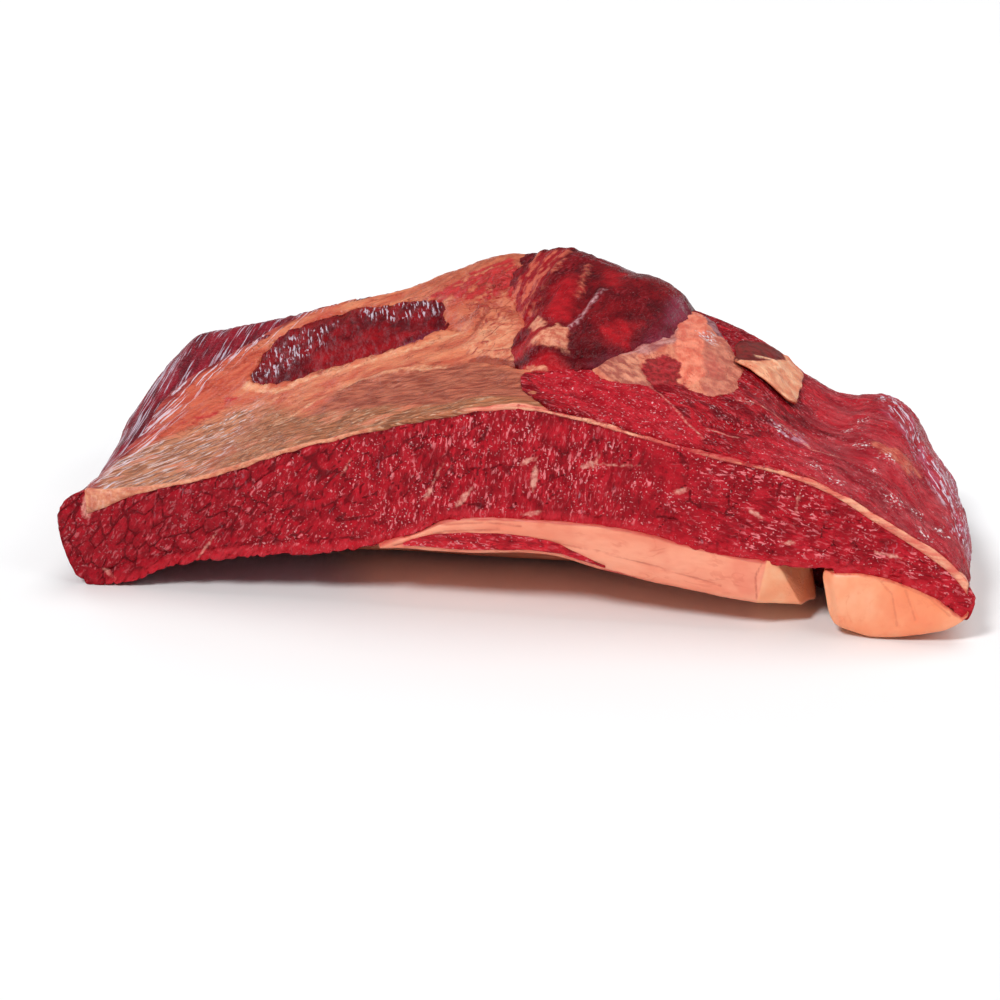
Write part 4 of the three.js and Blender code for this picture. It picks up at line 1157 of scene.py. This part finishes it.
def makeFlap():
    x, y, w, faces, out = padGrid(flap["cells"], flap, 0.8, 101)
    low = pointTop(x, y) + lerp(*flap["lift"], ramp(0, -26, y)) - 0.6 * (1 - out)
    thick = lerp(*flap["thick"], 1 - out ** 2)
    rounded = 1.1 * np.sin(math.pi * w) * out ** 6
    p, q = x - flap["centre"][0], y - flap["centre"][1]
    far = np.maximum(np.hypot(p, q), 1)
    z = lerp(low, low + thick, w)
    points = np.stack([x + rounded * p / far, y + rounded * q / far, z], axis=1)
    curl = fromLine(x, y, flap["lip"])
    relief = ramp(0.2, 0.9, w) * (0.5 * rough(points, 12, 3, 102) + 0.2 * noise(points, 3, 103)
                                  + 0.9 * np.exp(-(curl / 1.2) ** 2)
                                  - 0.9 * ramp(0.35, 0.65, patchMark(x, y, flap["lean"])))
    # painted shade on the underside along the edge
    shadedLowRim = clamp01(0.5 + (out - 0.96) * 4) * (1 - w)
    marks = {"lean": patchMark(x, y, flap["lean"]), "lip": lineMark(x, y, 2, flap["lip"]),
             "rim": np.maximum(shadedLowRim, patchMark(x, y, flap["back"]))}
    material = makeMaterial("flapFat", fatGround, flap)
    makePiece("fat_flap", points, faces, relief, marks, material)


# Under the flat muscle: the slab of fat with its streak of lean and, past the notch, the lump

slab = {
    "cells": (230, 90, 16),
    "bulge": 1.3,
    "pared": (117, 121),        # where its right end begins to be pared away, low and high
    "facet": 0.5,               # how steeply
    "creases": [[(-54, 31), (-37, 36.5), (-4, 40), (18, 38.5), (43, 35), (62, 31), (100, 22)],
                [(120, 37), (116, 28), (117, 16)],
                [(-50, 36), (-34, 43), (-10, 46), (6, 45)], [(-44, 33.5), (-30, 40), (-4, 43)]],
    "thread": [(27, 31), (40, 27), (52, 24), (66, 20)],
    "look": dict(mottle=16, grain=3, stretch=(3, 1, 1), turn=(0, 4, 0), blushSize=26, shadow=0.12,
                 blush=0.35, warm=(238, 140, 112), light=(250, 166, 136), deep=(222, 112, 86),
                 rose=(226, 104, 84), rough=0.3, depth=0.5, depthOfLight=0.2, wrinkles=0.35,
                 wrinkle=9, shine=0.35),
    "layers": [
        # darker lines along the creases: partly the seams between layers of fat, partly painted shade
        # in the grooves
        layer("crease", (170, 62, 50), (208, 100, 80), ragged=0.12, raggedSize=3, edge=0.035,
              amount=0.6),
        layer("red", (186, 36, 40), (214, 84, 74), ragged=0.25, raggedSize=6, stretch=(3, 1, 1),
              edge=0.05, amount=0.75),
        layer("thread", (176, 24, 36), (206, 66, 66), ragged=0.3, stretch=(4, 1, 1), edge=0.06,
              amount=0.85),
        # painted light: the pared facet at the right end a bright peach, lighter than the rest of the
        # fat
        layer("bare", (255, 166, 124), (255, 190, 148), streak=16, ragged=0.1, edge=0.04, amount=0.95),
        layer("membrane", (190, 100, 76), (226, 150, 118), streak=4, stretch=(5, 1, 1), ragged=0.6,
              edge=0.2, amount=0.7),
    ],
}


def makeSlab():
    s, t, w, faces = boxGrid(slab["cells"])
    t = t ** 1.3
    y = lerp(frontY, slabBack(lerp(-150, 138, s)), t)
    end = ramp(frontY + 26, frontY, y)
    x = lerp(slabLeft(y), slabRight(y) + lerp(4, 12, end) * (1 - w) - 2 * end, s)
    bottom = bodyBottom(x, y) - 0.2
    z = lerp(bottom, np.maximum(bottom + 1.8, slabTop(x, y)), w)
    atCut = ramp(frontY + 6, frontY, y)
    y = y - atCut * (0.6 + slab["bulge"] * np.sin(math.pi * w) ** 0.7)
    pared = x - lerp(*slab["pared"], w)
    y = y + slab["facet"] * np.maximum(pared, 0) * ramp(frontY + 30, frontY, y)
    points = np.stack([x, y, z], axis=1)
    crease = fromLines(x, z, slab["creases"])
    relief = (0.45 * rough(points, (30, 20, 12), 3, 111) * ramp(-2, 1, atCut)
              - 0.7 * atCut * np.exp(-(crease / 0.9) ** 2))
    paredEnd = ramp(frontY + 40, frontY + 26, y)
    marks = {"crease": edgeMark(0.45 - crease) * atCut,
             "red": edgeMark(z - slabTop(x, y) + 1) * atCut,
             "thread": lineMark(x, z, 1.6, slab["thread"]) * atCut, "bare": edgeMark(pared) * paredEnd,
             "membrane": (1 - atCut) * (1 - paredEnd * ramp(110, 118, x))}
    material = makeMaterial("slabFat", fatGround, slab)
    makePiece("under_fat", points, faces, relief, marks, material)


# The streak of lean inside the slab, which shows at the cut
streak = {
    "cells": (130, 24, 14),
    "left": -50, "right": 46, "back": -55, "thick": 8.5,
    "look": dict(flat["look"], strokes=0.6, red=(206, 36, 48), dark=(172, 20, 34), bundle=3,
                 runs=(96, 96, 96)),
}


def makeStreak():
    s, t, w, faces = boxGrid(streak["cells"])
    y, x = lerp(frontY, streak["back"], t), lerp(streak["left"], streak["right"], s)
    bottom = bodyBottom(x, y) + 1.9
    thick = 0.8 + (streak["thick"] - 0.8) * np.sin(math.pi * s ** 0.72) ** 1.1 * (1 - 0.6 * t)
    atCut = ramp(frontY + 6, frontY, y)
    z = bottom + w * thick
    y = y - atCut * (1.0 + slab["bulge"])
    points = np.stack([x, y, z], axis=1)
    relief = 0.3 * rough(points, 8, 3, 121) * atCut
    material = makeMaterial("streakLean", leanGround, streak)
    makePiece("under_streak", points, faces, relief, {"along": s}, material)


# The thick lump of fat past the notch
lumpFat = {
    "cells": (110, 80, 34),
    "bulge": 2.2,
    "creases": [[(185, 26), (188, 18), (190, 12)], [(171, 32), (179, 24), (182, 8)],
                [(150, 32), (164, 33), (182, 28.5), (196, 23), (206, 15)]],
    "look": dict(mottle=26, grain=4, stretch=(1, 1, 1.4), turn=(0, 15, 0), blushSize=24, shadow=0.1,
                 blush=0.3, warm=(250, 150, 108), light=(255, 178, 138), deep=(238, 128, 92),
                 rose=(244, 128, 92), rough=0.28, depth=0.35, depthOfLight=0.25, wrinkles=0.25,
                 shine=0.4),
    "layers": [
        # darker lines along the creases: partly the seams in the fat, partly painted shade in the
        # grooves
        layer("crease", (206, 96, 66), (226, 124, 92), ragged=0.16, raggedSize=3, edge=0.035,
              amount=0.5),
        layer("red", (200, 50, 50), (236, 116, 92), ragged=0.2, raggedSize=5, edge=0.06, amount=0.7),
        layer("membrane", (206, 118, 88), (236, 160, 124), streak=4, ragged=0.6, edge=0.2, amount=0.6),
    ],
}


def makeLump():
    s, t, w, faces = boxGrid(lumpFat["cells"])
    y = lerp(frontY, lump["back"], t ** 1.3)
    x = lerp(lump["left"] + 2 * (2 * w - 1) ** 6 + 5 * (1 - w), rightSide(y) - 3, s)
    bottom = bodyBottom(x, y) - 0.2
    z = lerp(bottom, np.maximum(bottom + 1.8, lumpTop(x, y)), w)
    atCut = ramp(frontY + 10, frontY, y)
    corner = ramp(lump["left"] + 6, lump["left"], x - 5 * (1 - w))
    swell = lumpFat["bulge"] * (1 - (2 * w - 1) ** 4) * ramp(0, 0.12, s) * ramp(1, 0.85, s)
    points = np.stack([x, y - atCut * (0.7 + swell) + 3 * corner * atCut, z], axis=1)
    crease = fromLines(x, z, lumpFat["creases"])
    relief = (0.5 * rough(points, (24, 24, 20), 2, 131) - 0.5 * atCut * np.exp(-(crease / 1.2) ** 2))
    marks = {"crease": edgeMark(0.4 - crease) * atCut,
             "red": edgeMark(z - lumpTop(x, y) + 0.9) * atCut, "membrane": 1 - atCut}
    material = makeMaterial("lumpFat", fatGround, lumpFat)
    makePiece("end_fat", points, faces, relief, marks, material)


for make in (makeFlat, makeSheet, makeStrip, makePoint, makeHump, makeWedge, makeFlap, makeSlab,
             makeStreak, makeLump):
    make()


# The stage: a pale floor, soft light and the camera

stage = {
    "floor": (0.9, 0.9, 0.9, 1),
    "floorHalf": 12.0,          # metres
    "world": 0.16,
    "target": (-4, -112, 57),   # where the camera looks, in the cutter's frame
    "azimuth": 10, "elevation": 21, "distance": 1400,
    "lens": 108.36,             # for a 36 mm sensor
    "lightTarget": (0, 0, 0.05),    # in metres, from the part's own origin
    "suns": [                   # name, azimuth, elevation, how wide in degrees, strength
        ("key", -24, 47, 14, 2.05),
        ("overhead", 140, 74, 40, 1.2),
        ("right", 62, 40, 20, 0.35)],
    "lights": [                 # name, azimuth, elevation, distance, width, height, watts, colour
        ("backLeft", -128, 26, 1.6, 0.5, 0.9, 3.5, (0.84, 0.9, 1)),
        ("backRight", 122, 30, 1.6, 0.5, 0.9, 3, (0.86, 0.92, 1))],
}


# The way from the target to a place at an azimuth and an elevation: azimuth 0 is in front
def towards(azimuth, elevation):
    a, e = math.radians(azimuth), math.radians(elevation)
    return np.array([math.sin(a) * math.cos(e), -math.cos(a) * math.cos(e), math.sin(e)])


# Puts a thing at a place, upright, with its back towards a direction
def aim(thing, place, back):
    right = np.cross([0, 0, 1], back)
    right /= np.linalg.norm(right)
    up = np.cross(back, right)
    matrix = np.eye(4)
    matrix[:3, 0], matrix[:3, 1], matrix[:3, 2], matrix[:3, 3] = right, up, back, place
    thing.matrix_world = mathutils.Matrix(matrix.tolist())


def makeFloor():
    half = stage["floorHalf"]
    mesh = bpy.data.meshes.new("floor")
    mesh.from_pydata([(-half, -half, 0), (half, -half, 0), (half, half, 0), (-half, half, 0)], [],
                     [(0, 1, 2, 3)])
    shade = Shade("floorPaint")
    paint = shade.node("ShaderNodeBsdfPrincipled", {}, {
        "Base Color": stage["floor"], "Roughness": 0.75, "Specular IOR Level": 0.2}, "BSDF")
    shade.node("ShaderNodeOutputMaterial", {}, {"Surface": paint})
    mesh.materials.append(shade.material)
    floor = bpy.data.objects.new("floor", mesh)
    bpy.context.scene.collection.objects.link(floor)


def makeLights():
    centre = np.array(stage["lightTarget"])
    for name, azimuth, elevation, distance, width, height, watts, colour in stage["lights"]:
        lamp = bpy.data.lights.new(name, "AREA")
        lamp.shape = "RECTANGLE"
        lamp.size, lamp.size_y = width, height
        lamp.energy, lamp.color = watts, colour
        light = bpy.data.objects.new(name, lamp)
        bpy.context.scene.collection.objects.link(light)
        back = towards(azimuth, elevation)
        aim(light, centre + back * distance, back)
    for name, azimuth, elevation, wide, strength in stage["suns"]:
        lamp = bpy.data.lights.new(name, "SUN")
        lamp.angle, lamp.energy = math.radians(wide), strength
        light = bpy.data.objects.new(name, lamp)
        bpy.context.scene.collection.objects.link(light)
        back = towards(azimuth, elevation)
        aim(light, centre + back, back)
    world = bpy.data.worlds.new("studio")
    world.use_nodes = True
    background = world.node_tree.nodes["Background"]
    background.inputs["Color"].default_value = (1, 1, 1, 1)
    background.inputs["Strength"].default_value = stage["world"]
    bpy.context.scene.world = world


def makeCamera():
    lens = bpy.data.cameras.new("camera")
    lens.lens, lens.sensor_width = stage["lens"], 36
    camera = bpy.data.objects.new("camera", lens)
    bpy.context.scene.collection.objects.link(camera)
    back = towards(stage["azimuth"], stage["elevation"])
    place = np.array(stage["target"]) + home + back * stage["distance"]
    aim(camera, place * millimetre, back)
    bpy.context.scene.camera = camera


makeFloor()
makeLights()
makeCamera()
bpy.context.scene.view_settings.view_transform = "Standard"
print("stage: floor, lights and camera made")
